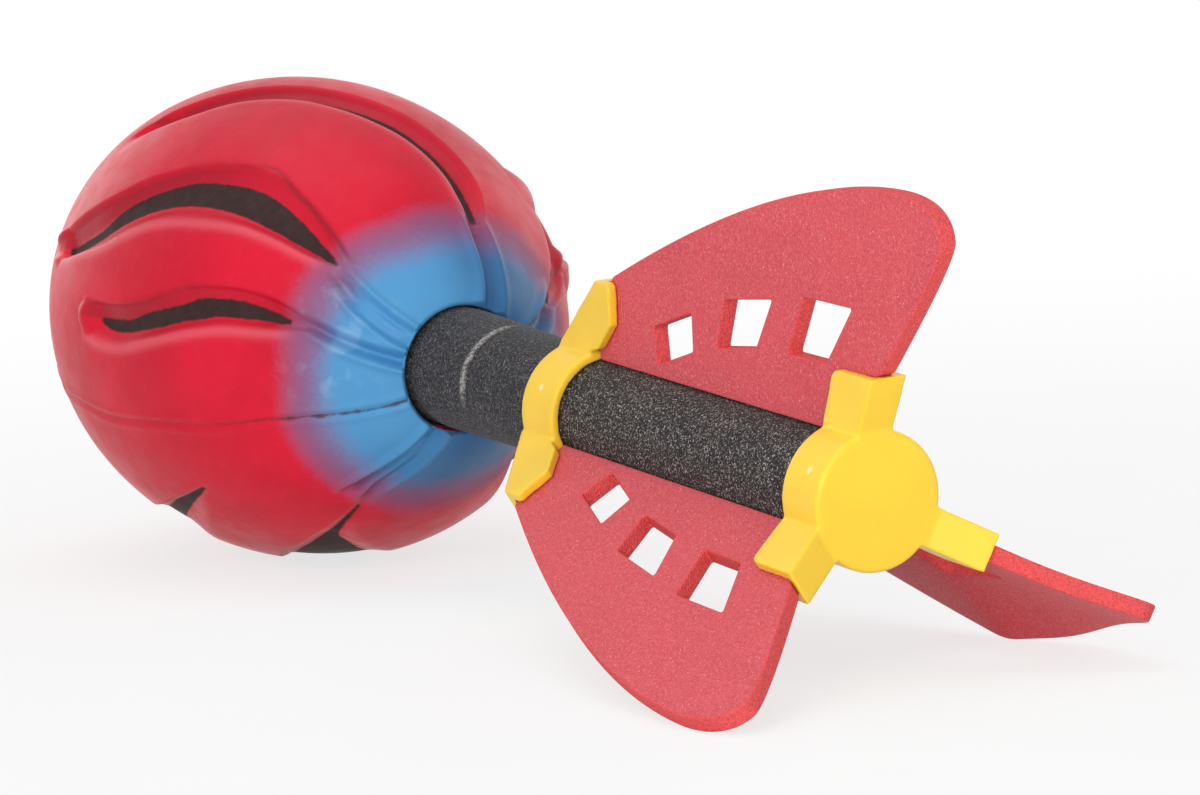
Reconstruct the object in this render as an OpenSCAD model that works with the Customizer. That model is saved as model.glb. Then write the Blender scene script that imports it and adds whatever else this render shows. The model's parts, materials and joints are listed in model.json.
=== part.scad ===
// Vortex throwing toy: a grooved foam ball on a sleeved tube, with three foam fins between two moulded
// holders. It lies on the floor as it comes to rest: on the ball and on the edges of its two lower fins.
// The toy's own axis runs along +X towards the tail, tipped down to the floor by the rest attitude.

/* [Ball] */
// Length of the foam ball along its axis
ball_len = 140; // [125:1:155]
// Largest diameter of the foam ball
ball_d = 100; // [90:1:110]
// How far the ball's tail end swells out along the tube past its egg shape
tail_swell = 4.3; // [0:0.1:6]
// Depth of the swirling grooves
groove_depth = 2.6; // [1:0.2:4]
// Depth of the narrow flutes that run from the grooves to the tube
flute_depth = 1.4; // [0.4:0.2:2]
// Height of the round knobs at the nose end of two of the grooves
knob_h = 1.8; // [0.4:0.2:3]
// Depth of the socket that takes the end of the grip sleeve
socket_depth = 12; // [8:1:18]
// How much wider than the socket its mouth is, on the radius
mouth_flare = 1; // [0.4:0.1:2.5]

/* [Tube and sleeves] */
// Outer diameter of the rigid core tube
core_d = 12; // [10:0.5:14]
// Wall of the core tube
core_wall = 1.5; // [1:0.1:2]
// How far the core tube goes into the ball behind the socket
core_in_ball = 45; // [30:1:60]
// Diameter of the grip sleeve where it enters the ball
grip_ball_d = 24; // [22.5:0.5:26]
// Diameter of the grip sleeve where it enters the front fin holder
grip_tail_d = 22; // [20:0.5:22.4]
// Length of the grip sleeve that shows between the ball and the front fin holder
grip_len = 47.6; // [36:0.1:66]
// Diameter of the sleeve between the two fin holders
fin_sleeve_d = 21; // [19:0.5:21.4]
// Length of that sleeve that shows
fin_run = 83; // [78:1:90]

/* [Fin holders] */
// Outer diameter of both holders' rings
holder_d = 25; // [24.8:0.2:27]
// Length of the front holder's ring
collar_len = 12; // [10:0.5:14]
// Length of the tail cap
cap_len = 11.8; // [10:0.2:14]
// Thickness of the cap's end disc and of the web inside the front holder
web_t = 1.5; // [1:0.1:2]
// Rounding of the cap's rim
rim_r = 0.9; // [0.3:0.1:1.2]
// Width of the arms across the fin
arm_w = 7.2; // [6.4:0.2:8.4]
// Thickness of the plate that closes each arm's channel
plate_t = 1.5; // [1:0.1:2]
// Radius from the axis to the outer end of the tail cap's arms
cap_arm_r = 22.5; // [20:0.5:23]
// How far the tail cap's arms lean towards the tail at their outer end
cap_lean = 5; // [2:0.5:7]
// Radius from the axis to the outer end of the front holder's arms
collar_arm_r = 26.5; // [24:0.5:28]
// How far the front holder's arms lean towards the tail at their outer end
collar_lean = 15.2; // [12:0.2:17]
// Reach of the front holder's side walls behind its front face
collar_reach = 20.4; // [19:0.2:23]
// Radius of the arms' rounded corners
arm_corner_r = 2.4; // [1:0.2:3]

/* [Fins] */
// Thickness of the fin sheet
fin_t = 2.8; // [2:0.2:3.6]
// Radius from the axis to the fins' outer edge
fin_span = 55; // [52:0.2:60]
// How far the fins' tips reach behind the tail cap's disc
fin_overhang = 25; // [22:0.1:30]
// Where the windows' middles lie, ahead of the disc
window_x = [66.3, 41.4, 15.7]; // [10:0.1:70]
// Radius from the axis to the windows' middles
window_r = [18.8, 25.2, 27.7]; // [14:0.1:34]
// Width of the windows at their inner edge
window_in_w = [14, 14.1, 12.6]; // [8:0.1:16]
// Width of the windows at their outer edge
window_out_w = [14.8, 16.7, 15.8]; // [8:0.1:18]
// Height of the windows
window_h = [7.0, 9.4, 10.8]; // [4:0.1:12]
// How far the windows' outer edge is shifted towards the tail
window_shift = [-0.3, 5.0, 7.6]; // [-2:0.1:9]
// Slope of the windows' inner and outer edges, in degrees
window_slope = [18, 8, 0.5]; // [-5:0.5:25]
// How far the fin that the toy leans on is bowed sideways
fin_bow = 9.5; // [0:0.5:12]
// How far ahead of the disc its bow is deepest
bow_crest = 21; // [15:1:30]
// How much of its tip's reach past the cap's arm that fin loses by bowing
bow_shrink = 0.17; // [0:0.01:0.2]

/* [Fits] */
// Gap between a foam piece and the piece that it seats in or on
foam_gap = 0.3; // [0.1:0.05:0.4]
// Gap between the core tube and the pieces threaded on it
core_gap = 0.15; // [0.05:0.05:0.3]

/* [Hidden] */
$fn = 96;

// Radii
ball_a = ball_len / 2;
ball_b = ball_d / 2;
core_r = core_d / 2;
core_in_r = core_r - core_wall;
core_hole_r = core_r + core_gap;
grip_r0 = grip_ball_d / 2;
grip_r1 = grip_tail_d / 2;
sleeve_r = fin_sleeve_d / 2;
holder_r = holder_d / 2;
socket_r = grip_r0 + foam_gap;
mouth_r = socket_r + mouth_flare;

// Stations along the toy's axis, from the middle of the ball
mouth_x = ball_a * sqrt(1 - pow(mouth_r / ball_b, 2)) + tail_swell;
socket_x = mouth_x - socket_depth;
core_x0 = socket_x - core_in_ball;
collar_x0 = mouth_x + grip_len;
collar_x1 = collar_x0 + collar_len;
web_x0 = collar_x0 + (collar_len - web_t) / 2;
web_x1 = web_x0 + web_t;
cap_x0 = collar_x1 + fin_run;
cap_x1 = cap_x0 + cap_len;
core_x1 = cap_x1 - web_t - foam_gap;

// Ball: rings and points to a ring
ball_rings = 40;
ball_segs = 96;
swell_r = 30;

// Grooves: the middle line as [x, angle about the axis], the half width as [x, mm], and a turn about
// the axis. An angle of 0 is the top and 90 is the side of the left fin.
long_line = [[-22, 38], [-10, 26], [2, 14], [14, 3.5], [27, -8], [40, -18], [50, -23.5], [60, -26], [68, -31]];
long_half = [[-24, 0], [-14, 4.5], [6, 7.5], [34, 7], [50, 4.5], [58, 0]];
crescent_line = [[-25, 68], [-12, 65.5], [4, 57], [14, 49.8], [24, 44.6], [34, 41], [44, 40], [52, 41.5], [60, 48],
                 [68, 58]];
crescent_half = [[-25, 0], [-14, 4.8], [4, 7.2], [24, 8], [40, 7.6], [52, 5], [59, 0]];
wave_line = [[0, 82.5], [10, 81.5], [22, 79.5], [33, 74.5], [42, 70.8], [50, 69.3], [58, 69.5], [68, 77]];
wave_half = [[-2, 0], [6, 4], [20, 4.8], [34, 5.4], [48, 5.6], [54, 4], [59, 0]];
short_line = [[-28, 156], [-12, 149], [2, 140.5], [12, 134], [20, 129.5], [28, 125], [32, 123]];
short_half = [[-30, 0], [-16, 7], [-4, 9], [8, 6], [18, 3.5], [29, 0]];
wedge_line = [[-14, 190], [4, 181], [20, 171], [31, 165], [38, 160], [44, 156], [52, 152.5], [60, 149], [68, 154]];
wedge_half = [[-18, 0], [-6, 6], [14, 10], [30, 9], [38, 5.5], [44, 3.5], [50, 2], [58, 0]];
// Each groove: line, half width, turn, whether a flute carries on from it to the tube
GROOVES = [[long_line, long_half, 0, 1], [crescent_line, crescent_half, 0, 1], [wave_line, wave_half, 0, 1],
           [short_line, short_half, 0, 0], [wedge_line, wedge_half, 0, 1], [crescent_line, crescent_half, 180, 1],
           [wave_line, wave_half, 180, 1], [long_line, long_half, -50, 1]];
// Knobs: [x, angle, radius]
KNOBS = [[-25.5, 68, 4.2], [-1, 82.6, 3.6], [-25.5, 248, 4.2], [-1, 262.6, 3.6], [32, -54, 6],
         [37, -77, 5]];
flute_half = 2.6;
flute_x = 50;

function wrap(d) = d > 180 ? wrap(d - 360) : d < -180 ? wrap(d + 360) : d;
function smooth(u) = let (v = min(1, max(0, u))) v * v * (3 - 2 * v);
// Share of a groove's full depth at u half widths from its middle line: a flat floor and curved walls
function groove_shape(u) = u >= 1 ? 0 : 1 - smooth((u - 0.3) / 0.7);
// Distance along the surface from a groove's middle line at x, for an angle al at radius r
function line_gap(line, turn, x, al, r) =
    let (slope = (lookup(x + 1, line) - lookup(x - 1, line)) / 2 * r * PI / 180)
    abs(wrap(al - turn - lookup(x, line))) * r * PI / 180 / sqrt(1 + slope * slope);
function groove_cut(g, x, al, r) =
    let (half = lookup(x, g[1]), gap = line_gap(g[0], g[2], x, al, r))
    half < 0.3 ? 0 : groove_depth * groove_shape(gap / half) * min(1, half / 4.5);
function flute_cut(g, x, al, r) =
    g[3] == 0 || x < flute_x ? 0
    : flute_depth * groove_shape(line_gap(g[0], g[2], x, al, r) / flute_half) * smooth((x - flute_x) / 8);
function knob_rise(k, x, al, r) =
    let (d = norm([x - k[0], wrap(al - k[1]) * r * PI / 180]) / k[2])
    d >= 1 ? 0 : knob_h * (1 - smooth(d));
function ball_shift(x, al, r) =
    max([for (k = KNOBS) knob_rise(k, x, al, r)])
    - max([for (g = GROOVES) max(groove_cut(g, x, al, r), flute_cut(g, x, al, r))]);

// How far the skin at radius r is moved along the axis at the tail end
function swell(r) = tail_swell * smooth((swell_r - r) / (swell_r - mouth_r));
// Points of a ring about the axis
function ring(x, r) = [for (j = [0 : ball_segs - 1]) let (al = 360 * j / ball_segs) [x, -r * sin(al), r * cos(al)]];
function ball_ring(th) =
    let (x = ball_a * cos(th), r = ball_b * sin(th), n = [x / ball_a / ball_a, r / ball_b / ball_b], u = n / norm(n))
    [for (j = [0 : ball_segs - 1])
        let (al = 360 * j / ball_segs, s = ball_shift(x, al, r), q = r + s * u[1])
        [x + s * u[0] + (x > 0 ? swell(r) : 0), -q * sin(al), q * cos(al)]];
mouth_th = asin(mouth_r / ball_b);
ball_skin = [for (i = [1 : ball_rings]) each ball_ring(180 - (180 - mouth_th) * i / ball_rings)];
ball_inside = concat(ring(mouth_x - mouth_flare, socket_r), ring(socket_x, socket_r),
                     ring(socket_x, core_hole_r), ring(core_x0 - foam_gap, core_hole_r));
ball_points = concat([[-ball_a, 0, 0]], ball_skin, ball_inside, [[core_x0 - foam_gap, 0, 0]]);
ball_last = len(ball_points) - 1;
ring_count = ball_rings + 4;
function at(i, j) = 1 + i * ball_segs + j % ball_segs;
ball_faces = concat(
    [for (j = [0 : ball_segs - 1]) [0, at(0, j + 1), at(0, j)]],
    [for (i = [0 : ring_count - 2]) for (j = [0 : ball_segs - 1]) [at(i, j), at(i, j + 1), at(i + 1, j + 1)]],
    [for (i = [0 : ring_count - 2]) for (j = [0 : ball_segs - 1]) [at(i, j), at(i + 1, j + 1), at(i + 1, j)]],
    [for (j = [0 : ball_segs - 1]) [ball_last, at(ring_count - 1, j), at(ring_count - 1, j + 1)]]);

// Fins, in [x from the cap's disc, radius from the axis]
root_r = sleeve_r + foam_gap;
step_r = holder_r + foam_gap;
disc_to_collar = cap_len + fin_run + collar_len;
lean_run = sqrt(pow(collar_lean, 2) + pow(collar_arm_r - holder_r, 2));
lean_u = [collar_lean, collar_arm_r - holder_r] / lean_run;
lean_n = [lean_u[1], -lean_u[0]];
// Inner face of the front holder's plates, at a depth behind their front face and a radius
function collar_plate_x(depth, r) =
    let (p = [-disc_to_collar, holder_r] + depth * lean_n) p[0] + (r - p[1]) * lean_u[0] / lean_u[1];
// Face of the cap's plates, at a depth ahead of their rear face and a radius
function cap_plate_x(depth, r) = cap_lean * (r - holder_r) / (cap_arm_r - holder_r) - depth;
function bezier(p, n, from) =
    [for (i = [from : n]) let (t = i / n, s = 1 - t)
        s * s * s * p[0] + 3 * s * s * t * p[1] + 3 * s * t * t * p[2] + t * t * t * p[3]];
fin_nose = [collar_plate_x(plate_t + foam_gap, step_r), step_r];
fin_lead = [collar_plate_x(plate_t + foam_gap, collar_arm_r + 1), collar_arm_r + 1];
fin_crown = [fin_overhang - 14, fin_span];
fin_tail = [fin_overhang, fin_span - 7.2];
fin_heel = [cap_lean - foam_gap, cap_arm_r + 0.7];
outer_edge = bezier([fin_lead, fin_lead + 35 * [cos(23.6), sin(23.6)], fin_crown - [28.6, 0], fin_crown], 28, 0);
tip_edge = bezier([fin_crown, fin_crown + [9, 0], fin_tail + [0, 4.6], fin_tail], 12, 1);
trail_edge = bezier([fin_tail, fin_tail - [0.6, 3.5], fin_heel + [6, 6.5], fin_heel], 14, 1);
cap_front = -cap_len - foam_gap;
collar_back = -cap_len - fin_run + foam_gap;
fin_gap_depth = plate_t + foam_gap;
fin_upper = concat([fin_nose], outer_edge, tip_edge);
fin_lower = concat([[cap_plate_x(fin_gap_depth, cap_arm_r), cap_arm_r],
                    [cap_plate_x(fin_gap_depth, step_r), step_r], [cap_front, step_r], [cap_front, root_r],
                    [collar_back, root_r], [collar_back, step_r]]);
fin_outline = concat(fin_upper, trail_edge, fin_lower);
function window_corners(i) =
    let (c = [-window_x[i], window_r[i]], h = window_h[i] / 2, s = window_shift[i] / 2,
         k = [cos(window_slope[i]), sin(window_slope[i])])
    [c + [-s, -h] - k * window_in_w[i] / 2, c + [-s, -h] + k * window_in_w[i] / 2,
     c + [s, h] + k * window_out_w[i] / 2, c + [s, h] - k * window_out_w[i] / 2];

// The bowed fin: how far a point of the flat sheet is pushed sideways and drawn in. The push rises from the
// front holder to the crest, falls to the tip, and fades to nothing at the root and at the cap's arm.
bow_x0 = -cap_len - fin_run + (collar_reach - collar_len) + 0.5;
function edge_r(x) =
    let (u = min(1, max(0, (fin_crown[0] - x) / (fin_crown[0] - fin_lead[0]))))
    fin_span - (fin_span - fin_lead[1]) * pow(u, 1.6);
function soft_min(a, b, k) = let (h = min(1, max(0, 0.5 + (b - a) / (2 * k)))) b + (a - b) * h - k * h * (1 - h);
function bow_rise(x) =
    let (u = max(0, (x - bow_x0) / (-bow_crest - bow_x0)), v = (x + bow_crest) / (fin_overhang + bow_crest))
    soft_min(u * (1.3 - 0.3 * min(1, u)), 1.15 * pow(max(0, min(1.2, 1 - v)), 1.4) - 0.15, 0.12);
function bow_hold(x) = holder_r + (cap_arm_r - holder_r) * smooth((x + 30) / 20);
function bow_side(p) =
    let (hold = bow_hold(p[0]), q = max(0, (p[1] - hold) / (edge_r(p[0]) - hold)))
    fin_bow * bow_rise(p[0]) * pow(min(1.1, q), 1.3);
function bow_flat(p) =
    let (out = max(0, p[1] - cap_arm_r - 0.7), s = bow_shrink * smooth((p[0] + 12) / 30))
    [p[0] - out * s / 2, p[1] - out * s];
function bow_point(p, side) =
    let (q = fin_bow > 0 ? bow_flat(p) : p) [cap_x1 + q[0], bow_side(p) + side * fin_t / 2, q[1]];
// The sheet's lower and upper edges as two rows of points, one over the other
function between(a, b, n, from) = [for (i = [from : n]) a + (b - a) * i / n];
bow_upper = concat(between(fin_nose, fin_lead, 3, 0), [for (i = [1 : 28]) outer_edge[i]], tip_edge);
bow_cols = len(bow_upper);
bow_rows = 7;
bow_tail = concat([[cap_front, step_r], [cap_plate_x(fin_gap_depth, step_r), step_r]],
                  [[cap_plate_x(fin_gap_depth, cap_arm_r), cap_arm_r], fin_heel],
                  [for (i = [len(trail_edge) - 2 : -1 : 0]) trail_edge[i]]);
bow_root_n = bow_cols - len(bow_tail) - 3;
bow_lower = concat([fin_nose + [0.8, 0], [collar_back, step_r]],
                   between([collar_back, root_r], [cap_front, root_r], bow_root_n, 0), bow_tail);
bow_grid = [for (i = [0 : bow_cols - 1]) for (k = [0 : bow_rows])
    bow_lower[i] + (bow_upper[i] - bow_lower[i]) * k / bow_rows];

// Rest attitude: the pitch and roll at which the ball and both lower fins touch the floor, found by
// turning the toy until their lowest points agree
function drop(p, pitch, roll) = -sin(pitch) * p[0] + cos(pitch) * (p[1] * sin(roll) + p[2] * cos(roll));
function low(points, pitch, roll) = min([for (p = points) drop(p, pitch, roll)]);
function about_x(p, a) = [p[0], p[1] * cos(a) - p[2] * sin(a), p[1] * sin(a) + p[2] * cos(a)];
rim_points = concat(fin_upper, trail_edge);
left_rim = [for (p = rim_points) for (s = [-1, 1]) about_x([cap_x1 + p[0], s * fin_t / 2, p[1]], 120)];
right_rim = [for (p = rim_points) for (s = [-1, 1]) about_x(bow_point(p, s), 240)];
function settle(pitch, roll, n) =
    let (h = low(ball_skin, pitch, roll), l = low(left_rim, pitch, roll), r = low(right_rim, pitch, roll))
    n == 0 ? [pitch, roll, -min(h, l, r)]
    : settle(pitch + ((l + r) / 2 - h) / cap_x1 * 180 / PI, roll + (l - r) / (2 * fin_span) * 180 / PI, n - 1);
rest = settle(5, 0, 9);
// Where the middle of the resting toy's length and width lies
top_rim = [for (p = rim_points) for (s = [-1, 1]) [cap_x1 + p[0], s * fin_t / 2, p[1]]];
all_rims = concat(ball_points, left_rim, right_rim, top_rim);
lie_x = [for (p = all_rims) cos(rest[0]) * p[0] + sin(rest[0]) * (p[1] * sin(rest[1]) + p[2] * cos(rest[1]))];
lie_y = [for (p = all_rims) p[1] * cos(rest[1]) - p[2] * sin(rest[1])];
mid = [(min(lie_x) + max(lie_x)) / 2, (min(lie_y) + max(lie_y)) / 2];

module placed() {
    translate([-mid[0], -mid[1], rest[2]])
        rotate([0, rest[0], 0])
            rotate([rest[1], 0, 0])
                children();
}

// A solid of revolution about the toy's axis from an outline of [x, radius] points
module turned(outline) {
    rotate([0, 90, 0])
        rotate_extrude()
            polygon([for (p = outline) [p[1], p[0]]]);
}

// A plate that stands on the axis in the plane of one fin, from an outline of [x, radius] points
module standing(outline, width) {
    rotate([90, 0, 0])
        translate([0, 0, -width / 2])
            linear_extrude(width)
                polygon(outline);
}

// Points of a rounded corner: centre, radius, first and last angle
function arc(c, r, a0, a1, n) = [for (i = [0 : n]) c + r * [cos(a0 + (a1 - a0) * i / n), sin(a0 + (a1 - a0) * i / n)]];

module foam_head() {
    color([0.87, 0.16, 0.22])
        placed()
            polyhedron(ball_points, ball_faces, 6);
}

module core_tube() {
    color([0.82, 0.82, 0.80])
        placed()
            turned([[core_x0, core_in_r], [core_x1, core_in_r], [core_x1, core_r], [core_x0, core_r]]);
}

module grip_sleeve() {
    end_x = web_x0 - foam_gap;
    color([0.27, 0.26, 0.27])
        placed()
            turned([[socket_x + foam_gap, core_hole_r], [end_x, core_hole_r], [end_x, grip_r1],
                    [collar_x0 - foam_gap, grip_r1], [mouth_x, grip_r0], [socket_x + foam_gap, grip_r0]]);
}

module fin_sleeve() {
    start_x = web_x1 + foam_gap;
    end_x = cap_x1 - web_t - foam_gap;
    color([0.25, 0.24, 0.25])
        placed()
            turned([[start_x, core_hole_r], [end_x, core_hole_r], [end_x, sleeve_r], [start_x, sleeve_r]]);
}

// Channel for one fin between an arm's side walls
module fin_slot(outline) {
    standing(outline, fin_t + 2 * foam_gap);
}

module collar_arm() {
    end_r = collar_arm_r;
    x0 = collar_x0;
    chamfer = 5.2;
    waist_r = holder_r + 1;
    slot_x0 = cap_x1 + collar_plate_x(plate_t, holder_r);
    slot_x1 = cap_x1 + collar_plate_x(plate_t, end_r + 2);
    difference() {
        standing(concat([[x0, holder_r - 1], [x0, holder_r]], [[x0 + collar_lean, end_r]],
                        arc([x0 + collar_reach - 1, end_r - 1], 1, 90, 0, 6),
                        [[x0 + collar_reach, waist_r + chamfer], [x0 + collar_reach - chamfer, waist_r],
                         [collar_x1, holder_r], [collar_x1, holder_r - 1]]), arm_w);
        fin_slot([[slot_x0, holder_r], [slot_x1, end_r + 2], [slot_x1 + 30, end_r + 2], [slot_x1 + 30, holder_r]]);
    }
}

module fin_collar() {
    front_r = grip_r1 + foam_gap;
    rear_r = sleeve_r + foam_gap;
    lip = 0.4;
    color([0.98, 0.80, 0.20])
        placed()
            union() {
                turned([[collar_x0, front_r], [web_x0, front_r], [web_x0, core_hole_r], [web_x1, core_hole_r],
                        [web_x1, rear_r], [collar_x1, rear_r], [collar_x1, holder_r - lip], [collar_x1 - lip, holder_r],
                        [collar_x0 + lip, holder_r], [collar_x0, holder_r - lip]]);
                for (a = [0, 120, 240])
                    rotate([a, 0, 0])
                        collar_arm();
            }
}

module cap_arm() {
    x1 = cap_x1;
    corner = [x1 - 6.2 + arm_corner_r - 2.4, cap_arm_r - arm_corner_r];
    slot_r = cap_arm_r + 2;
    difference() {
        standing(concat([[cap_x0, holder_r - 1], [cap_x0, holder_r]], arc(corner, arm_corner_r, 155, 90, 8),
                        [[x1 + cap_lean, cap_arm_r], [x1, holder_r], [x1, holder_r - 1]]), arm_w);
        fin_slot([[cap_x0 - 5, holder_r], [x1 + cap_plate_x(plate_t, holder_r), holder_r],
                  [x1 + cap_plate_x(plate_t, slot_r), slot_r], [cap_x0 - 5, slot_r]]);
    }
}

module tail_cap() {
    bore_r = sleeve_r + foam_gap;
    spigot_r = core_in_r - core_gap;
    spigot_len = cap_len;
    lip = 0.4;
    floor_x = cap_x1 - web_t;
    color([1.0, 0.83, 0.30])
        placed()
            union() {
                turned(concat([[floor_x - spigot_len, 0], [floor_x - spigot_len, spigot_r], [floor_x, spigot_r],
                               [floor_x, bore_r], [cap_x0, bore_r], [cap_x0, holder_r - lip],
                               [cap_x0 + lip, holder_r]],
                              arc([cap_x1 - rim_r, holder_r - rim_r], rim_r, 90, 0, 8), [[cap_x1, 0]]));
                for (a = [0, 120, 240])
                    rotate([a, 0, 0])
                        cap_arm();
            }
}

// One flat fin, standing on the axis
module flat_fin() {
    translate([cap_x1, 0, 0])
        difference() {
            standing(fin_outline, fin_t);
            for (i = [0 : 2])
                standing(window_corners(i), fin_t + 2);
        }
}

// The fin that the toy leans on, bowed between its two holders
module bowed_fin() {
    n = bow_rows + 1;
    front = [for (p = bow_grid) bow_point(p, -1)];
    back = [for (p = bow_grid) bow_point(p, 1)];
    m = len(front);
    top = bow_rows;
    sheet = [for (i = [0 : bow_cols - 2]) for (k = [0 : bow_rows - 1]) [i * n + k, (i + 1) * n + k, i * n + k + 1]];
    sheet2 = [for (i = [0 : bow_cols - 2]) for (k = [0 : bow_rows - 1])
        [(i + 1) * n + k, (i + 1) * n + k + 1, i * n + k + 1]];
    rim = concat(
        [for (i = [0 : bow_cols - 2]) each [[i * n, i * n + m, (i + 1) * n], [(i + 1) * n, i * n + m, (i + 1) * n + m]]],
        [for (i = [0 : bow_cols - 2]) each [[i * n + top, (i + 1) * n + top, i * n + top + m],
                                            [(i + 1) * n + top, (i + 1) * n + top + m, i * n + top + m]]],
        [for (k = [0 : bow_rows - 1]) each [[k, k + 1, k + m], [k + 1, k + 1 + m, k + m]]],
        [for (k = [0 : bow_rows - 1]) let (e = (bow_cols - 1) * n)
            each [[e + k, e + k + m, e + k + 1], [e + k + 1, e + k + m, e + k + 1 + m]]]);
    difference() {
        polyhedron(concat(front, back),
                   concat(sheet, sheet2, [for (f = sheet) [f[0] + m, f[2] + m, f[1] + m]],
                          [for (f = sheet2) [f[0] + m, f[2] + m, f[1] + m]], rim), 6);
        for (i = [0 : 2])
            translate([cap_x1, fin_bow / 2, 0])
                standing([for (c = window_corners(i)) bow_flat(c)], 2 * fin_bow + 3 * fin_t);
    }
}

module fin_top() {
    color([0.85, 0.33, 0.38])
        placed()
            flat_fin();
}

module fin_left() {
    color([0.88, 0.36, 0.40])
        placed()
            rotate([120, 0, 0])
                flat_fin();
}

module fin_right() {
    color([0.80, 0.28, 0.33])
        placed()
            rotate([240, 0, 0])
                bowed_fin();
}

foam_head();
core_tube();
grip_sleeve();
fin_sleeve();
fin_collar();
tail_cap();
fin_top();
fin_left();
fin_right();
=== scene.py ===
"""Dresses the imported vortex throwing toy: its grooved foam ball, foam sleeves, moulded holders and foam fins.

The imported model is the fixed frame. Each operator makes one piece, or a group of like pieces, over it.
Lengths in the settings are in metres, and the shapes are worked out in millimetres along the toy's own
axis, with the middle of the ball as zero, and then laid down in the attitude in which the toy rests.
"""

import json
import math

import bmesh
import bpy
import numpy as np
from mathutils import Matrix, Vector


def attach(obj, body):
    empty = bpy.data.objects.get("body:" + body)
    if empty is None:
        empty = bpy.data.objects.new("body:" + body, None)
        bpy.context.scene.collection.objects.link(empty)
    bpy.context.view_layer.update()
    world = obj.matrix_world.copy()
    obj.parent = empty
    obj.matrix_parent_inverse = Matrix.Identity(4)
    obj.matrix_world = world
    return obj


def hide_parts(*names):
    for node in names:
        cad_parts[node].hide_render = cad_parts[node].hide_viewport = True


bl_info = {
    "name": "Vortex Throwing Toy",
    "version": (1, 0, 0),
    "blender": (4, 5, 0),
    "location": "3D View > Sidebar > Throwing Toy",
    "description": "Makes the foam, the mouldings and the stage of a vortex throwing toy",
    "category": "Object",
}

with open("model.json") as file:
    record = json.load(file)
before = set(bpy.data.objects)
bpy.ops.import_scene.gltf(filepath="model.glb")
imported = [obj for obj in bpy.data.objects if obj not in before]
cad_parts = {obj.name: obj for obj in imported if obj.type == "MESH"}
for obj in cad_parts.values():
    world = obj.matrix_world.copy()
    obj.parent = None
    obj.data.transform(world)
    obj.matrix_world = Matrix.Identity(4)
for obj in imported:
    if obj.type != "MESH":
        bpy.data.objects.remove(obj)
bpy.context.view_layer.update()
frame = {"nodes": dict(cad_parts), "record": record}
MM = 1000  # millimetres in a metre


# ---------------------------------------------------------------- placing


def rest_matrix():
    """The toy's own axes laid down on the floor, in metres, from the tail cap's mount in the record."""
    rest = bpy.context.scene.toy_rest
    disc = next(m for m in frame["record"]["mounts"] if m["name"] == "tail_disc")
    pitch = math.atan2(-disc["axis"][2], disc["axis"][0])
    turn = Matrix.Rotation(pitch, 4, "Y") @ Matrix.Rotation(rest.roll, 4, "X")
    middle = Vector(disc["pos_m"]) - turn @ Vector((rest.ball_to_disc, 0, 0))
    return Matrix.Translation(middle) @ turn


def laid_down(points):
    """Points in millimetres along the toy's own axes, as world points in metres."""
    m = np.array(rest_matrix())
    return np.asarray(points, float) / MM @ m[:3, :3].T + m[:3, 3]


def mesh_piece(name, points, faces, smooth=True):
    """A new object from points in millimetres along the toy's axes, with its shape laid down."""
    mesh = bpy.data.meshes.new(name)
    mesh.from_pydata(laid_down(points).tolist(), [], [tuple(f) for f in faces])
    mesh.validate()
    mesh.polygons.foreach_set("use_smooth", [smooth] * len(mesh.polygons))
    mesh.update()
    piece = bpy.data.objects.new(name, mesh)
    bpy.context.scene.collection.objects.link(piece)
    return piece


def store(mesh, name, values):
    """Keeps one number for each point of a mesh, for a material to read."""
    layer = mesh.attributes.new(name, "FLOAT", "POINT")
    layer.data.foreach_set("value", np.asarray(values, np.float32))


def settle(piece, node):
    """The piece rides on the toy's one body and stands for its CAD node, which it hides."""
    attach(piece, "root")
    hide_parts(node)


# ---------------------------------------------------------------- curves


def smoothstep(u):
    """A soft rise from 0 to 1."""
    u = np.clip(u, 0, 1)
    return u * u * (3 - 2 * u)


def eased(points, per=12):
    """A flowing line through given points, sampled between them."""
    p = np.array(points, float)
    p = np.vstack([2 * p[0] - p[1], p, 2 * p[-1] - p[-2]])
    t = (np.arange(per) / per)[:, None]
    out = []
    for a, b, c, d in zip(p[:-3], p[1:-2], p[2:-1], p[3:]):
        bend, twist = 2 * a - 5 * b + 4 * c - d, 3 * b - a - 3 * c + d
        out += list(0.5 * (2 * b + (c - a) * t + bend * t**2 + twist * t**3))
    return np.array(out + [p[-2]])


def reader(points):
    """A function that gives a line's value at any station, from its (station, value) points."""
    line = eased(points)
    line = line[np.argsort(line[:, 0])]
    return lambda x: np.interp(x, line[:, 0], line[:, 1])


def bezier(a, b, c, d, n, first=0):
    """Points on a Bezier curve with four control points."""
    t = (np.arange(first, n + 1) / n)[:, None]
    s = 1 - t
    shares = (s**3, 3 * s**2 * t, 3 * s * t**2, t**3)
    return sum(share * np.array(point) for share, point in zip(shares, (a, b, c, d)))


def hills(x, y, z, seed, scale):
    """Slow, soft unevenness, between about -1 and 1, that is the same on each run."""
    rng = np.random.default_rng(seed)
    total = np.zeros_like(x)
    for _ in range(7):
        k = rng.normal(size=3)
        k = k / np.linalg.norm(k) * rng.uniform(0.6, 1.6) / scale
        total += np.sin(k[0] * x + k[1] * y + k[2] * z + rng.uniform(0, 6.28))
    return total / 4


# ---------------------------------------------------------------- nodes


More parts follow.
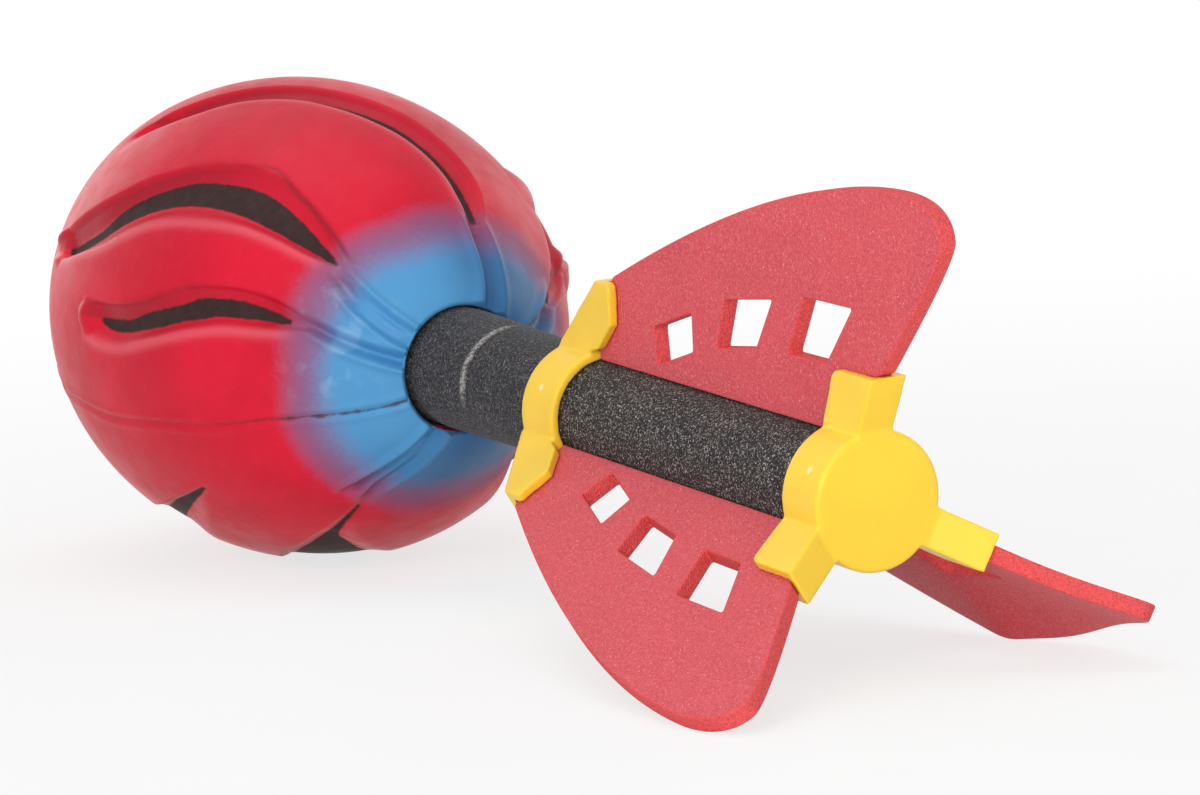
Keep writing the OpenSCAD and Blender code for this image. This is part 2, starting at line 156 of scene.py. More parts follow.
class Shader:
    """Builds one procedural material or world from short calls."""

    def __init__(self, name, blocks="materials", output="ShaderNodeOutputMaterial"):
        self.block = getattr(bpy.data, blocks).new(name)
        self.block.use_nodes = True
        self.tree = self.block.node_tree
        self.tree.nodes.clear()
        self.out = self.node(output)

    def put(self, socket, value):
        """Links a socket to another node, or gives it a value of its own."""
        if isinstance(value, bpy.types.NodeSocket):
            self.tree.links.new(value, socket)
        elif socket.type == "RGBA":
            socket.default_value = (*tuple(value)[:3], 1)
        else:
            socket.default_value = value

    def node(self, kind, settings=(), **sockets):
        """A node, with its settings as (name, value) pairs and its sockets by name."""
        made = self.tree.nodes.new(kind)
        for name, value in settings:
            setattr(made, name, value)
        for name, value in sockets.items():
            self.put(made.inputs[name.replace("_", " ")], value)
        return made

    def value(self, name):
        return self.node("ShaderNodeAttribute", [("attribute_name", name)]).outputs["Fac"]

    def place(self):
        return self.node("ShaderNodeTexCoord").outputs["Object"]

    def noise(self, scale, detail=2.0, roughness=0.5):
        sockets = {"Vector": self.place(), "Scale": scale, "Detail": detail, "Roughness": roughness}
        return self.node("ShaderNodeTexNoise", **sockets).outputs["Fac"]

    def cells(self, scale):
        return self.node("ShaderNodeTexVoronoi", Vector=self.place(), Scale=scale).outputs["Distance"]

    def math(self, operation, *values):
        made = self.node("ShaderNodeMath", [("operation", operation)])
        for socket, value in zip(made.inputs, values):
            self.put(socket, value)
        return made.outputs[0]

    def times(self, first, *others):
        for other in others:
            first = self.math("MULTIPLY", first, other)
        return first

    def plus(self, first, *others):
        for other in others:
            first = self.math("ADD", first, other)
        return first

    def jitter(self, noise, reach):
        """A noise spread about zero, as far as a reach each way."""
        return self.math("MULTIPLY_ADD", noise, 2 * reach, -reach)

    def step(self, value, low, high, to_low=0.0, to_high=1.0):
        """A soft step from one value to another between two readings."""
        ends = {"From_Min": low, "From_Max": high, "To_Min": to_low, "To_Max": to_high}
        soft = [("interpolation_type", "SMOOTHSTEP")]
        return self.node("ShaderNodeMapRange", soft, Value=value, **ends).outputs["Result"]

    def blend(self, share, a, b):
        """From colour a to colour b, by a share."""
        made = self.node("ShaderNodeMix", [("data_type", "RGBA")])
        for i, value in ((0, share), (6, a), (7, b)):
            self.put(made.inputs[i], value)
        return made.outputs[2]

    def bump(self, height, distance, strength, below=None):
        made = self.node("ShaderNodeBump", Height=height, Distance=distance, Strength=strength)
        if below is not None:
            self.put(made.inputs["Normal"], below)
        return made.outputs["Normal"]

    def surface(self, colour, roughness, normal, **sockets):
        sockets.update({"Base_Color": colour, "Roughness": roughness, "Normal": normal})
        made = self.node("ShaderNodeBsdfPrincipled", **sockets)
        self.put(self.out.inputs["Surface"], made.outputs[0])
        return self.block

    def mixed_surface(self, share, a, b):
        """From shader a to shader b, by a share."""
        made = self.node("ShaderNodeMixShader")
        for socket, value in zip(made.inputs, (share, a.outputs[0], b.outputs[0])):
            self.put(socket, value)
        self.put(self.out.inputs["Surface"], made.outputs[0])
        return self.block


def shade(colour, factor):
    """A colour made darker or lighter."""
    return tuple(min(1.0, c * factor) for c in tuple(colour)[:3])


# ---------------------------------------------------------------- settings


def number(name, description, default, low, high, **kind):
    return bpy.props.FloatProperty(
        name=name, description=description, default=default, min=low, max=high, **kind
    )


def length(name, description, default, low, high):
    return number(name, description, default, low, high, precision=4, unit="LENGTH")


def colour(name, description, default):
    return bpy.props.FloatVectorProperty(
        name=name, description=description, default=default, size=3, min=0, max=1, subtype="COLOR"
    )


class ToyRest(bpy.types.PropertyGroup):
    """How the toy lies on the floor."""

    ball_to_disc: length("Ball to disc", "From the ball's middle to the tail cap's disc", 0.226178, 0.15, 0.3)
    roll: number("Roll", "Turn about the toy's own axis", math.radians(2.14679), -0.5, 0.5, subtype="ANGLE")


class ToyBall(bpy.types.PropertyGroup):
    """Sizes and colours of the foam ball."""

    length: length("Length", "Length of the ball along its axis", 0.140, 0.1, 0.2)
    width: length("Width", "Largest diameter of the ball", 0.100, 0.06, 0.15)
    swell: length("Tail swell", "How far the tail end swells along the tube", 0.0043, 0, 0.006)
    groove_depth: length("Groove depth", "Depth of the swirling grooves", 0.0025, 0, 0.006)
    flute_depth: length("Flute depth", "Depth of the flutes that run to the tube", 0.0019, 0, 0.004)
    knob_height: length("Knob height", "Height of the knobs at the nose end of the grooves", 0.0019, 0, 0.004)
    socket_radius: length("Socket radius", "Radius of the hole that takes the grip sleeve", 0.0123, 0.008, 0.02)
    mouth_flare: length("Mouth flare", "How much wider the socket's mouth is", 0.0010, 0, 0.003)
    socket_depth: length("Socket depth", "Depth of the socket", 0.012, 0.005, 0.03)
    red: colour("Red", "Painted foam skin", (0.66, 0.008, 0.032))
    blue: colour("Blue", "Sprayed tail end of the ball", (0.085, 0.315, 0.600))
    # The darker blue is painted shade on the side turned away from the lamps, not thicker spray.
    shaded_blue: colour("Deep blue", "Blue where the spray is thick", (0.035, 0.135, 0.300))
    char: colour("Charcoal", "Painted floors of the grooves", (0.040, 0.020, 0.020))


class ToySleeves(bpy.types.PropertyGroup):
    """Sizes and colours of the foam sleeves."""

    grip_at_ball: length("Grip at ball", "Radius of the grip sleeve at the ball", 0.0120, 0.008, 0.02)
    grip_at_collar: length("Grip at collar", "Radius of the grip sleeve at the holder", 0.0110, 0.008, 0.02)
    fin_sleeve: length("Fin sleeve", "Radius of the sleeve under the fins", 0.0105, 0.008, 0.02)
    grip_grey: colour("Grip grey", "Foam of the grip sleeve", (0.037, 0.036, 0.042))
    sleeve_grey: colour("Sleeve grey", "Foam of the sleeve under the fins", (0.024, 0.020, 0.019))
    speck: colour("Specks", "Cells that catch the light", (0.80, 0.75, 0.72))


class ToyHolders(bpy.types.PropertyGroup):
    """Sizes and colours of the moulded fin holders."""

    edge: length("Edge rounding", "Grain of the rounding on the mouldings' edges", 0.00024, 0.0001, 0.001)
    yellow: colour("Yellow", "Moulded plastic of the holders", (1.0, 0.665, 0.046))


class ToyFins(bpy.types.PropertyGroup):
    """Sizes and colours of the foam fins."""

    sheet: length("Sheet", "Thickness of the fin sheet", 0.0031, 0.001, 0.005)
    span: length("Span", "Radius from the axis to the fins' outer edge", 0.055, 0.03, 0.08)
    overhang: length("Overhang", "How far the tips reach behind the disc", 0.025, 0.01, 0.04)
    bow: length("Bow", "How far the fin that the toy leans on is bowed", 0.0095, 0, 0.015)
    crest: length("Bow crest", "How far ahead of the disc the bow is deepest", 0.021, 0.01, 0.04)
    face: colour("Face", "Skinned face of the foam sheet", (0.64, 0.062, 0.082))
    cut: colour("Cut edge", "Freshly cut edge of the foam sheet", (0.84, 0.100, 0.105))


class ToyStage(bpy.types.PropertyGroup):
    """The camera's lens and the studio light."""

    lens: number("Lens", "Focal length on a 36 mm sensor", 150.33, 20, 400, unit="CAMERA")
    sky: number("Sky", "Strength of the even white light", 0.50, 0, 3)
    key: number("Key", "Power of the large soft lamp", 6.2, 0, 200, subtype="POWER")
    floor: colour("Floor", "Pale studio floor", (0.90, 0.90, 0.90))


# ---------------------------------------------------------------- ball

# Each groove is drawn by four lines over the ball, as (millimetres behind the ball's middle, degrees about
# the axis): the upper and lower rims of its trough, and the upper and lower edges of its painted floor.
CRESCENT = {
    "rim_a": (
        (-31, 69), (-26, 65), (-19.8, 61.4), (-8.4, 55.4), (0, 50.6), (6.5, 46), (12.9, 42),
        (18.7, 38.3), (24.5, 35), (30, 32), (36, 30), (43, 29.8), (51, 32.3), (56, 35.8), (60, 41),
    ),
    "floor_a": (
        (-22, 68.3), (-13, 65), (-6.3, 61.4), (0.4, 54.6), (7.3, 49.6), (13.8, 45.2), (19.8, 41.5),
        (26.3, 38.7), (32.6, 36.4), (38, 35.3), (43, 35.6), (47, 36.4), (51, 37.8), (54.5, 39.6),
        (57, 41.5),
    ),
    "floor_b": (
        (-22, 69.3), (-13, 67), (-5.1, 63.3), (3.3, 57.6), (10.6, 53), (17.6, 49.4), (24.4, 46.7),
        (31, 44.8), (37.7, 43.7), (44, 43.2), (50, 42.7), (54, 42.3), (57, 42),
    ),
    "rim_b": (
        (-31, 73), (-20, 71.5), (-11.4, 69.4), (1, 66), (9.3, 61.2), (16.3, 57), (23, 54.1),
        (29.6, 51.9), (35.4, 49.8), (41, 48.2), (47, 47.2), (52, 46.6), (57, 44.8), (60, 42.5),
    ),
}
WAVE = {
    "rim_a": (
        (-4, 78), (3, 77.5), (9, 77), (16, 75.8), (23, 73), (31.5, 68), (40.4, 64.5), (48.5, 62.8),
        (55, 64), (60, 69),
    ),
    "floor_a": (
        (4, 82), (10.5, 81.5), (16, 80.5), (20, 78.5), (25.5, 76), (31, 73.5), (35.5, 70.5), (40, 69),
        (44.5, 68), (49, 68), (52.5, 68.5), (54.5, 69.5),
    ),
    "floor_b": (
        (4, 83), (8.5, 84), (14.5, 83.5), (20, 82), (26, 80), (31.5, 77.5), (36.5, 75.5), (41, 73.5),
        (45.5, 72.5), (49.5, 71.5), (53, 71), (54.5, 70.5),
    ),
    "rim_b": (
        (-4, 86.5), (7.4, 88), (15, 87.6), (22, 85.6), (33.5, 81), (42.8, 77.6), (50.6, 76),
        (56, 73.6), (60, 70),
    ),
}
LONG = {
    "rim_a": (
        (-24, 38), (-14, 25), (-2, 11), (8, 1), (16, -5.5), (26, -14), (38, -22.5), (48, -28.5),
        (54, -29.5), (60, -27),
    ),
    "floor_a": (
        (-10, 24), (0, 14), (8, 6.5), (15.6, 0), (20.7, -4.2), (26, -8.6), (31, -12.8), (38, -17.2),
        (45, -21.4), (49, -23.8), (53, -25.4), (57, -26),
    ),
    "floor_b": (
        (-10, 28), (0, 19.5), (8, 11), (16.3, 3.9), (21.7, 0.3), (27, -3.5), (32, -7.3), (37, -11.5),
        (43.3, -15.8), (49, -19.5), (53.2, -21.6), (57, -24),
    ),
    "rim_b": (
        (-24, 46), (-18, 39.8), (-12.4, 34.3), (-5.8, 29.3), (-0.9, 25), (2.8, 20.2), (6.7, 15.8),
        (16.3, 7.4), (21.7, 3.8), (27, 0), (32.2, -3.8), (37.3, -8), (43.3, -12.3), (49, -16),
        (53.2, -18), (57, -20.5), (60, -24),
    ),
}
SHORT = {
    "rim_a": (
        (-30, 146), (-14, 140), (-4, 135.5), (5, 132), (11.3, 129.3), (17.6, 127), (23.4, 125.1),
        (27.2, 124.2), (30, 123.5),
    ),
    "floor_a": (
        (-24, 149), (-10, 142.5), (0, 136.8), (7, 133.2), (12, 131), (17.6, 128.8), (23.4, 126.4),
        (27, 124.9),
    ),
    "floor_b": (
        (-24, 152), (-10, 148.5), (0, 141.5), (7, 137), (11.2, 134.6), (18.6, 130.2), (23.6, 127.4),
        (27, 125.3),
    ),
    "rim_b": (
        (-30, 161), (-14, 160), (-4, 156), (5, 149), (11, 142), (18.6, 134.5), (24, 129.5), (28, 126),
        (30, 124),
    ),
}
WEDGE = {
    "rim_a": (
        (-20, 184), (-4, 175), (10, 164), (22.7, 156.3), (31.5, 154), (38.2, 152.3), (44.8, 151.2),
        (51.8, 150), (56, 148.6), (60, 148),
    ),
    "floor_a": (
        (-14, 186), (-2, 180), (10, 168), (22.7, 161), (33.4, 157.6), (41.5, 155.4), (47, 153.6),
        (52.5, 151.8),
    ),
    "floor_b": (
        (-14, 194), (-2, 192), (14, 184), (26, 177.5), (33.5, 169.5), (37.2, 164), (39.5, 159.5),
        (42.5, 157), (47, 154.6), (52.5, 152.2),
    ),
    "rim_b": (
        (-20, 200), (-4, 198), (14, 191), (28, 185), (37, 175), (41, 166), (44, 160), (48, 156.5),
        (54, 153), (60, 149.5),
    ),
}
GROOVES = (
    (LONG, 0, 1.0),
    (CRESCENT, 0, 1.0),
    (WAVE, 0, 1.0),
    (SHORT, 0, 0.6),
    (WEDGE, 0, 0.5),
    (CRESCENT, 180, 1.0),
    (WAVE, 180, 1.0),
    (LONG, -50, 1.0),
)
# Flutes carry on from the grooves to the tube: a line over the ball and a width in millimetres.
FLUTES = (
    (((55, -22), (60, -25), (64, -29), (69, -34)), 1.5),
    (((56, 43), (60, 46.5), (65, 51.6), (69, 55)), 1.0),
    (((56, 46), (60, 50), (65, 57.8), (69, 63)), 0.9),
    (((55, 67), (58, 68.8), (65.6, 75), (69, 78)), 1.1),
    (((52, 144), (55.2, 143.7), (63.9, 147.6), (69, 150)), 1.1),
    (((54, 150), (58.2, 150), (66.9, 155.5), (69, 157)), 1.0),
    (((56, 226), (60, 228.5), (65, 233.6), (69, 237)), 1.1),
    (((55, 247), (58, 248.8), (65.6, 255), (69, 258)), 1.1),
    (((55, -72), (60, -75), (64, -79), (69, -84)), 1.5),
)
# Creases, darkened as painted shade: a line over the ball, and how dark it is where it starts and where it
# ends.
CREASES = (
    (
        (
            (12, 47), (14.5, 42), (18, 38.5), (24, 35), (30, 32), (35.5, 29), (42.5, 30.5), (48, 31.5),
            (54, 34), (58, 37),
        ),
        0.15,
        0.85,
    ),
    (
        (
            (-24, 34.5), (-20.5, 30.5), (-15, 27.5), (-10, 23), (-5, 19), (0, 15.5), (6.5, 11),
            (11, 7.5), (15.5, 4),
        ),
        0.75,
        0.30,
    ),
)
# Knobs: station, angle, radius and a share of the knob height.
KNOBS = (
    (-25.5, 68.3, 4.6, 0.85),
    (0.2, 82.0, 4.0, 1.0),
    (-25.5, 248.3, 4.6, 0.85),
    (0.2, 262.0, 4.0, 1.0),
    (32, -54, 6.5, 0.7),
    (37, -77, 5.5, 0.8),
)
OUTSIDE = -9.0  # what the paint reads away from every groove's floor
NO_SEAM = 9.0  # what the seam reads away from the seam
FULL_WIDTH = 7.5  # a trough of this width has its full depth
LEDGE, LEDGE_SHARE = 1.2, 0.45  # width and share of the sharp step under a trough's upper rim
GROOVE_REACH = 40  # a groove marks nothing further from its own line than this
FLUTE_END = 70.0  # the flutes fade out at this station
SWELL_RADIUS = 30  # the tail end swells within this distance from the axis
SEAM_ANGLE, SEAM_DRIFT, SEAM_BEND = 105.3, 0.011, 45  # its angle, its bend, and where the bend starts
SOCKET_STATION, BOTTOM_STATION = 80, 90.0  # what the station reads from the lip on, and at the socket's end


def turned_gap(angle, line_angle, r):
    """Signed millimetres round the ball from a line to an angle, taking the nearest way."""
    return np.radians(np.mod(angle - line_angle + 180, 360) - 180) * r


def off_line(points, x, angle, r, turn=0):
    """Signed millimetres from a line over the ball, square to the line."""
    line = reader(points)
    slope = np.radians(line(x + 1) - line(x - 1)) / 2 * r
    return turned_gap(angle, line(x) + turn, r) / np.sqrt(1 + slope**2)


def groove_shape(groove, turn, x, angle, r):
    """For points on the ball: share of the full depth, millimetres inside the floor, painted highlight on the
    lower rim and painted shade under the upper rim.
    """
    rim_a, floor_a, floor_b, rim_b = (
        off_line(groove[name], x, angle, r, turn) for name in ("rim_a", "floor_a", "floor_b", "rim_b")
    )
    low, high = groove["rim_a"][0][0], groove["rim_a"][-1][0]
    rise_a = (1 - LEDGE_SHARE) * smoothstep(rim_a / np.maximum(rim_a - floor_a, 0.9))
    rise_a += LEDGE_SHARE * smoothstep(rim_a / LEDGE)
    rise_b = smoothstep(-rim_b / np.maximum(floor_b - rim_b, 0.9))
    width = rim_a - rim_b
    ends = smoothstep((x - low) / 6) * smoothstep((high - x) / 4) * ((x >= low) & (x <= high))
    share = np.minimum(rise_a, rise_b) * np.clip(width / FULL_WIDTH, 0, 1) * ends
    first, last = groove["floor_a"][0][0], groove["floor_a"][-1][0]
    inside = np.minimum(np.minimum(floor_a, -floor_b), np.minimum(x - first, last - x))
    # A pale band along the lower rim: painted highlight where the rounded rim would catch the light.
    ridge_highlight = np.exp(-((rim_b / 1.1) ** 2)) * ends * np.clip((width - 3) / 3, 0, 1)
    # Darker paint on the trough's upper wall, under its upper rim: painted shade, weaker towards the tail.
    under = smoothstep(rim_a / 0.9) * smoothstep(0.5 - floor_a / 0.6)
    under *= ends * (0.62 - 0.40 * smoothstep((x - 8) / 34))
    near = np.abs(floor_a) < GROOVE_REACH
    return share * near, np.where(near, inside, OUTSIDE), ridge_highlight * near, under * near


def ball_relief(x, angle, r):
    """How far the skin stands out from the plain ball, and the marks that its paint reads."""
    ball = bpy.context.scene.toy_ball
    depth, rim, shade_under_rim, flute, gloss, crease = (np.zeros_like(x) for _ in range(6))
    paint = np.full_like(x, OUTSIDE)
    for groove, turn, deep in GROOVES:
        share, inside, ridge_highlight, under = groove_shape(groove, turn, x, angle, r)
        depth = np.maximum(depth, share * deep)
        paint = np.maximum(paint, inside)
        rim = np.maximum(rim, ridge_highlight)
        shade_under_rim = np.maximum(shade_under_rim, under)
    for points, width in FLUTES:
        gap = np.abs(off_line(points, x, angle, r))
        fade = smoothstep((x - points[0][0]) / 5) * smoothstep((FLUTE_END - x) / 3)
        lips = 0.5 * np.exp(-(((gap - 1.8 * width) / (0.8 * width)) ** 2))
        flute += fade * (np.exp(-((gap / width) ** 2)) - lips)
    shift = -depth * ball.groove_depth * MM - flute * ball.flute_depth * MM * (1 - depth)
    for at, where, size, share in KNOBS:
        d = np.hypot(x - at, turned_gap(angle, where, r)) / size
        dome = np.clip(1 - d * d, 0, 1) ** 1.3
        shift += ball.knob_height * MM * share * dome
        gloss = np.maximum(gloss, dome)
    rim *= gloss <= 0.02
    # Each crease is a small dent whose dark red is painted shade.
    for points, first, last in CREASES:
        low, high = points[0][0], points[-1][0]
        fade = smoothstep((x - low + 3) / 6) * smoothstep((high + 2 - x) / 4)
        dark = first + (last - first) * np.clip((x - low) / (high - low), 0, 1)
        line = np.exp(-((off_line(points, x, angle, r) / 0.6) ** 2))
        crease = np.maximum(crease, dark * fade * line)
    shift -= 0.3 * crease
    drift = SEAM_ANGLE + SEAM_DRIFT * np.maximum(0, x - SEAM_BEND) ** 2 + 0.3 * np.sin(x / 5.0)
    seam = np.minimum(np.abs(turned_gap(angle, drift, r)), np.abs(turned_gap(angle, drift + 180, r)))
    shift += -0.35 * np.exp(-((seam / 0.55) ** 2)) + 0.22 * np.exp(-(((seam - 1.3) / 0.7) ** 2))
    # The painted shade under the upper rims joins the creases' painted shade.
    crease = np.maximum(crease, shade_under_rim * 0.8)
    return shift, {"paint": paint, "seam": seam, "rim": rim, "crease": crease, "gloss": gloss}


def ring_faces(rows, around, first=0):
    """Faces between rings of points that follow each other, from the number of the first point."""
    faces = []
    for p in range(first, first + (rows - 1) * around, around):
        q = p + around
        faces += [(p + j, p + (j + 1) % around, q + (j + 1) % around, q + j) for j in range(around)]
    return faces


def socket_rows(mouth_x, angle):
    """Stations and radii of the rings round the lip and down the socket, the lip a little ragged."""
    ball = bpy.context.scene.toy_ball
    socket, flare = ball.socket_radius * MM, ball.mouth_flare * MM
    t = np.linspace(0, 1, 7)[1:]
    stations = np.append(mouth_x - flare * t**1.6, [mouth_x - flare - 3, mouth_x - ball.socket_depth * MM])
    radii = np.append(socket + flare - flare * np.sin(t * math.pi / 2), [socket, socket])
    ragged = 0.10 * np.sin(np.radians(angle * 17)) + 0.08 * np.sin(np.radians(angle * 43 + 50))
    ragged += 0.7 * np.cos(np.radians(angle - 135))
    torn = np.exp(-(((angle - 163) / 16) ** 2))
    ragged -= 0.8 * torn * (0.6 + 0.4 * np.sin(np.radians(angle * 52)))
    soft = np.exp(-np.arange(len(t) + 2) / 2.5)[:, None]
    return stations[:, None] + 0 * angle, radii[:, None] + 0.35 * soft * ragged


def ball_mesh():
    """The ball: rings from the nose to the socket's mouth, then round the lip and down the socket."""
    ball = bpy.context.scene.toy_ball
    a, b = ball.length * MM / 2, ball.width * MM / 2
    mouth = (ball.socket_radius + ball.mouth_flare) * MM
    rings, around = ((420, 660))
    theta = np.pi - (np.pi - math.asin(mouth / b)) * np.arange(1, rings + 1) / rings
    angle = 360 * np.arange(around) / around
    th, al = np.meshgrid(theta, angle, indexing="ij")
    x, r = a * np.cos(th), b * np.sin(th)
    shift, marks = ball_relief(x, al, r)
    shift += 0.10 * hills(x, r * np.sin(np.radians(al)), r * np.cos(np.radians(al)), 5, 11)
    nx, nr = x / a**2, r / b**2
    size = np.hypot(nx, nr)
    swell = ball.swell * MM * smoothstep((SWELL_RADIUS - r) / (SWELL_RADIUS - mouth)) * (x > 0)
    lip_x, lip_r = socket_rows(x[-1, 0] + swell[-1, 0], angle)
    all_x = np.vstack([x + shift * nx / size + swell, lip_x])
    all_r = np.vstack([r + shift * nr / size, lip_r])
    y, z = -all_r * np.sin(np.radians(angle)), all_r * np.cos(np.radians(angle))
    points = [(-a, 0, 0), *zip(all_x.ravel(), y.ravel(), z.ravel()), (all_x[-1, 0], 0, 0)]
    p, last = 1 + (len(all_x) - 1) * around, len(points) - 1
    faces = [(0, 1 + (j + 1) % around, 1 + j) for j in range(around)]
    faces += ring_faces(len(all_x), around, 1)
    faces += [(p + j, p + (j + 1) % around, last) for j in range(around)]
    piece = mesh_piece("ball_foam", points, faces)
    for name, grid in marks.items():
        plain = {"paint": OUTSIDE, "seam": NO_SEAM}.get(name, 0.0)
        store(piece.data, name, [plain, *grid.ravel(), *np.full(lip_x.size, plain), plain])
    # Inside the socket the foam is painted near black as shade; away from 140 degrees the blue runs further in
    # before it, so the stations there start lower.
    clean = 4.5 * (0.5 - 0.5 * np.cos(np.radians(angle - 140)))
    lip_station = SOCKET_STATION + np.arange(len(lip_x))[:, None] - clean
    store(piece.data, "station", [-a, *x.ravel(), *lip_station.ravel(), BOTTOM_STATION])
    # How far a point faces round towards 70 degrees, the side that the lamps light: the blue is painted darker
    # away from it as shade.
    spray = 0.5 + 0.5 * np.cos(np.radians(angle - 70))
    top = np.exp(-((np.degrees(turned_gap(angle, 8, 1)) / 45) ** 2))
    for name, ring in (("turn", angle), ("spray", spray), ("top", top)):
        store(piece.data, name, [0.0, *np.tile(ring, len(all_x)), 0.0])
    return piece


BLUE_START, BLUE_FULL = 51.0, 62.0  # stations between which the red turns into blue


def ball_paint():
    """Sprayed foam skin: red, blue round the tube, and charcoal on the floors of the grooves."""
    ball = bpy.context.scene.toy_ball
    m = Shader("sprayed_ball_skin")
    station, spray, turn = m.value("station"), m.value("spray"), m.value("turn")
    mottle, fine = m.noise(38, 3, 0.55), m.noise(420, 3, 0.6)
    red = m.blend(m.step(mottle, 0.32, 0.70), shade(ball.red, 0.86), shade(ball.red, 1.06))
    red = m.blend(m.times(m.step(fine, 0.5, 0.8), 0.10), red, (0.85, 0.06, 0.10))
    # Paler red along the lower rims of the troughs: painted highlight.
    red = m.blend(m.times(m.value("rim"), 0.40), red, (0.80, 0.18, 0.23))
    over = m.times(m.value("top"), -3.2)
    ragged = m.plus(station, over, m.jitter(m.noise(28, 2, 0.5), 3.5), m.jitter(m.noise(900, 3, 0.7), 1.2))
    in_blue = m.step(ragged, BLUE_START, BLUE_FULL)
    # The blue is painted darker away from the lit side: painted shade.
    thinning_and_lit_blue = m.step(m.plus(spray, m.jitter(mottle, 0.15)), 0.30, 0.85)
    skin = m.blend(in_blue, red, m.blend(thinning_and_lit_blue, ball.shaded_blue, ball.blue))
    between = m.times(in_blue, m.math("SUBTRACT", 1.0, in_blue), 2.0)
    skin = m.blend(between, skin, (0.20, 0.050, 0.130))
    # Pale blue patches on the flute ribs on the lit side near the tube: painted highlight.
    rib_glints = m.times(m.step(spray, 0.90, 0.98), m.step(m.noise(170, 2, 0.5), 0.50, 0.62), in_blue)
    skin = m.blend(m.times(rib_glints, m.step(station, 67.0, 63.0), 0.25), skin, (0.42, 0.62, 0.80))
    floor = m.step(m.plus(m.value("paint"), m.jitter(m.noise(600, 3, 0.6), 0.35)), -0.60, 0.0)
    floor = m.times(floor, m.step(station, 62.0, 56.0))
    char = m.blend(m.step(fine, 0.35, 0.75), shade(ball.char, 0.85), shade(ball.char, 1.2))
    skin = m.blend(floor, skin, char)
    seam = m.step(m.plus(m.value("seam"), m.jitter(fine, 0.60)), 0.50, 0.0)
    skin = m.blend(m.times(seam, m.step(station, 30, 58, 0.16, 0.80)), skin, shade(ball.char, 1.4))
    # Dark red in the creases and under the upper rims of the troughs: painted shade.
    skin = m.blend(m.times(m.value("crease"), 0.8), skin, (0.10, 0.012, 0.020))
    # The socket's inside is painted near black as shade, with torn red foam showing on its lower side.
    torn = m.times(m.step(turn, 142, 152), m.step(turn, 182, 172), m.step(m.noise(700, 3, 0.7), 0.40, 0.55))
    inner = m.blend(torn, (0.012, 0.005, 0.006), (0.22, 0.012, 0.022))
    skin = m.blend(m.step(station, 79.5, 82.0), skin, inner)
    rough = m.plus(m.step(m.noise(180, 3, 0.6), 0.3, 0.75, 0.36, 0.46), m.times(floor, 0.3))
    rough = m.math("SUBTRACT", rough, m.times(m.value("gloss"), 0.16))
    peel = m.bump(m.noise(520, 3, 0.55), 0.00010, 0.45)
    pores = m.bump(m.noise(2600, 2, 0.6), 0.00005, 0.45, peel)
    sheen = {"Sheen_Weight": 0.30, "Sheen_Roughness": 0.12, "Sheen_Tint": (1.0, 0.88, 0.90)}
    return m.surface(skin, rough, pores, Specular_IOR_Level=0.16, **sheen)


# ---------------------------------------------------------------- sleeves

CORE_RADIUS = 6.15  # the sleeves' bore
SKIN_RADIUS = 9  # nearer the axis than this a sleeve has no unevenness
SLEEVE_STEP = 0.5  # how close together the rings of a sleeve are
GRIP_CREASE, GRIP_MOUTH = 94.1, 71.8  # stations of the grip's crease and of the ball's lip


def sleeve_mesh(name, profile, dents):
    """A foam tube from (station, radius) points, with the stations and the angles of its points."""
    line = [profile[0]]
    for (x0, r0), (x1, r1) in zip(profile, profile[1:]):
        n = max(1, round(math.hypot(x1 - x0, r1 - r0) / SLEEVE_STEP))
        line += [(x0 + (x1 - x0) * k / n, r0 + (r1 - r0) * k / n) for k in range(1, n + 1)]
    around = 200
    angle = 360 * np.arange(around) / around
    points = []
    for x, r in line:
        rr = r + dents(x, angle, r)
        points += zip(np.full(around, x), -rr * np.sin(np.radians(angle)), rr * np.cos(np.radians(angle)))
    p = (len(line) - 1) * around
    faces = ring_faces(len(line), around)
    faces += [(p + j, p + (j + 1) % around, (j + 1) % around, j) for j in range(around)]
    stations = np.repeat([x for x, r in line], around)
    return mesh_piece(name, points, faces), stations, np.tile(angle, len(line))


def tube_hills(x, turn, r, seed, scale):
    """The unevenness of one ring of a tube."""
    y, z = r * np.sin(np.radians(turn)), r * np.cos(np.radians(turn))
    return hills(np.full_like(turn, x), y, z, seed, scale)


def grip_dents(x, turn, r):
    """The soft crease where the grip has been squeezed, and slow unevenness of the foam."""
    if r < SKIN_RADIUS:
        return np.zeros_like(turn)
    share = smoothstep((turn + 15) / 30) * smoothstep((122 - turn) / 30)
    lean = x - GRIP_CREASE + 0.6 * np.sin(np.radians(turn * 1.4))
    ridge = 0.26 * np.exp(-((lean / 0.8) ** 2)) - 0.22 * np.exp(-(((lean - 1.8) / 1.1) ** 2))
    pinch = (0.3 + 0.25 * np.cos(np.radians(turn - 125))) * np.exp(-(((x - GRIP_MOUTH) / 1.7) ** 2))
    return ridge * share - pinch + 0.05 * tube_hills(x, turn, r, 11, 5)


def sleeve_dents(x, turn, r):
    """Slow unevenness of the foam."""
    if r < SKIN_RADIUS:
        return np.zeros_like(turn)
    return 0.04 * tube_hills(x, turn, r, 12, 4)


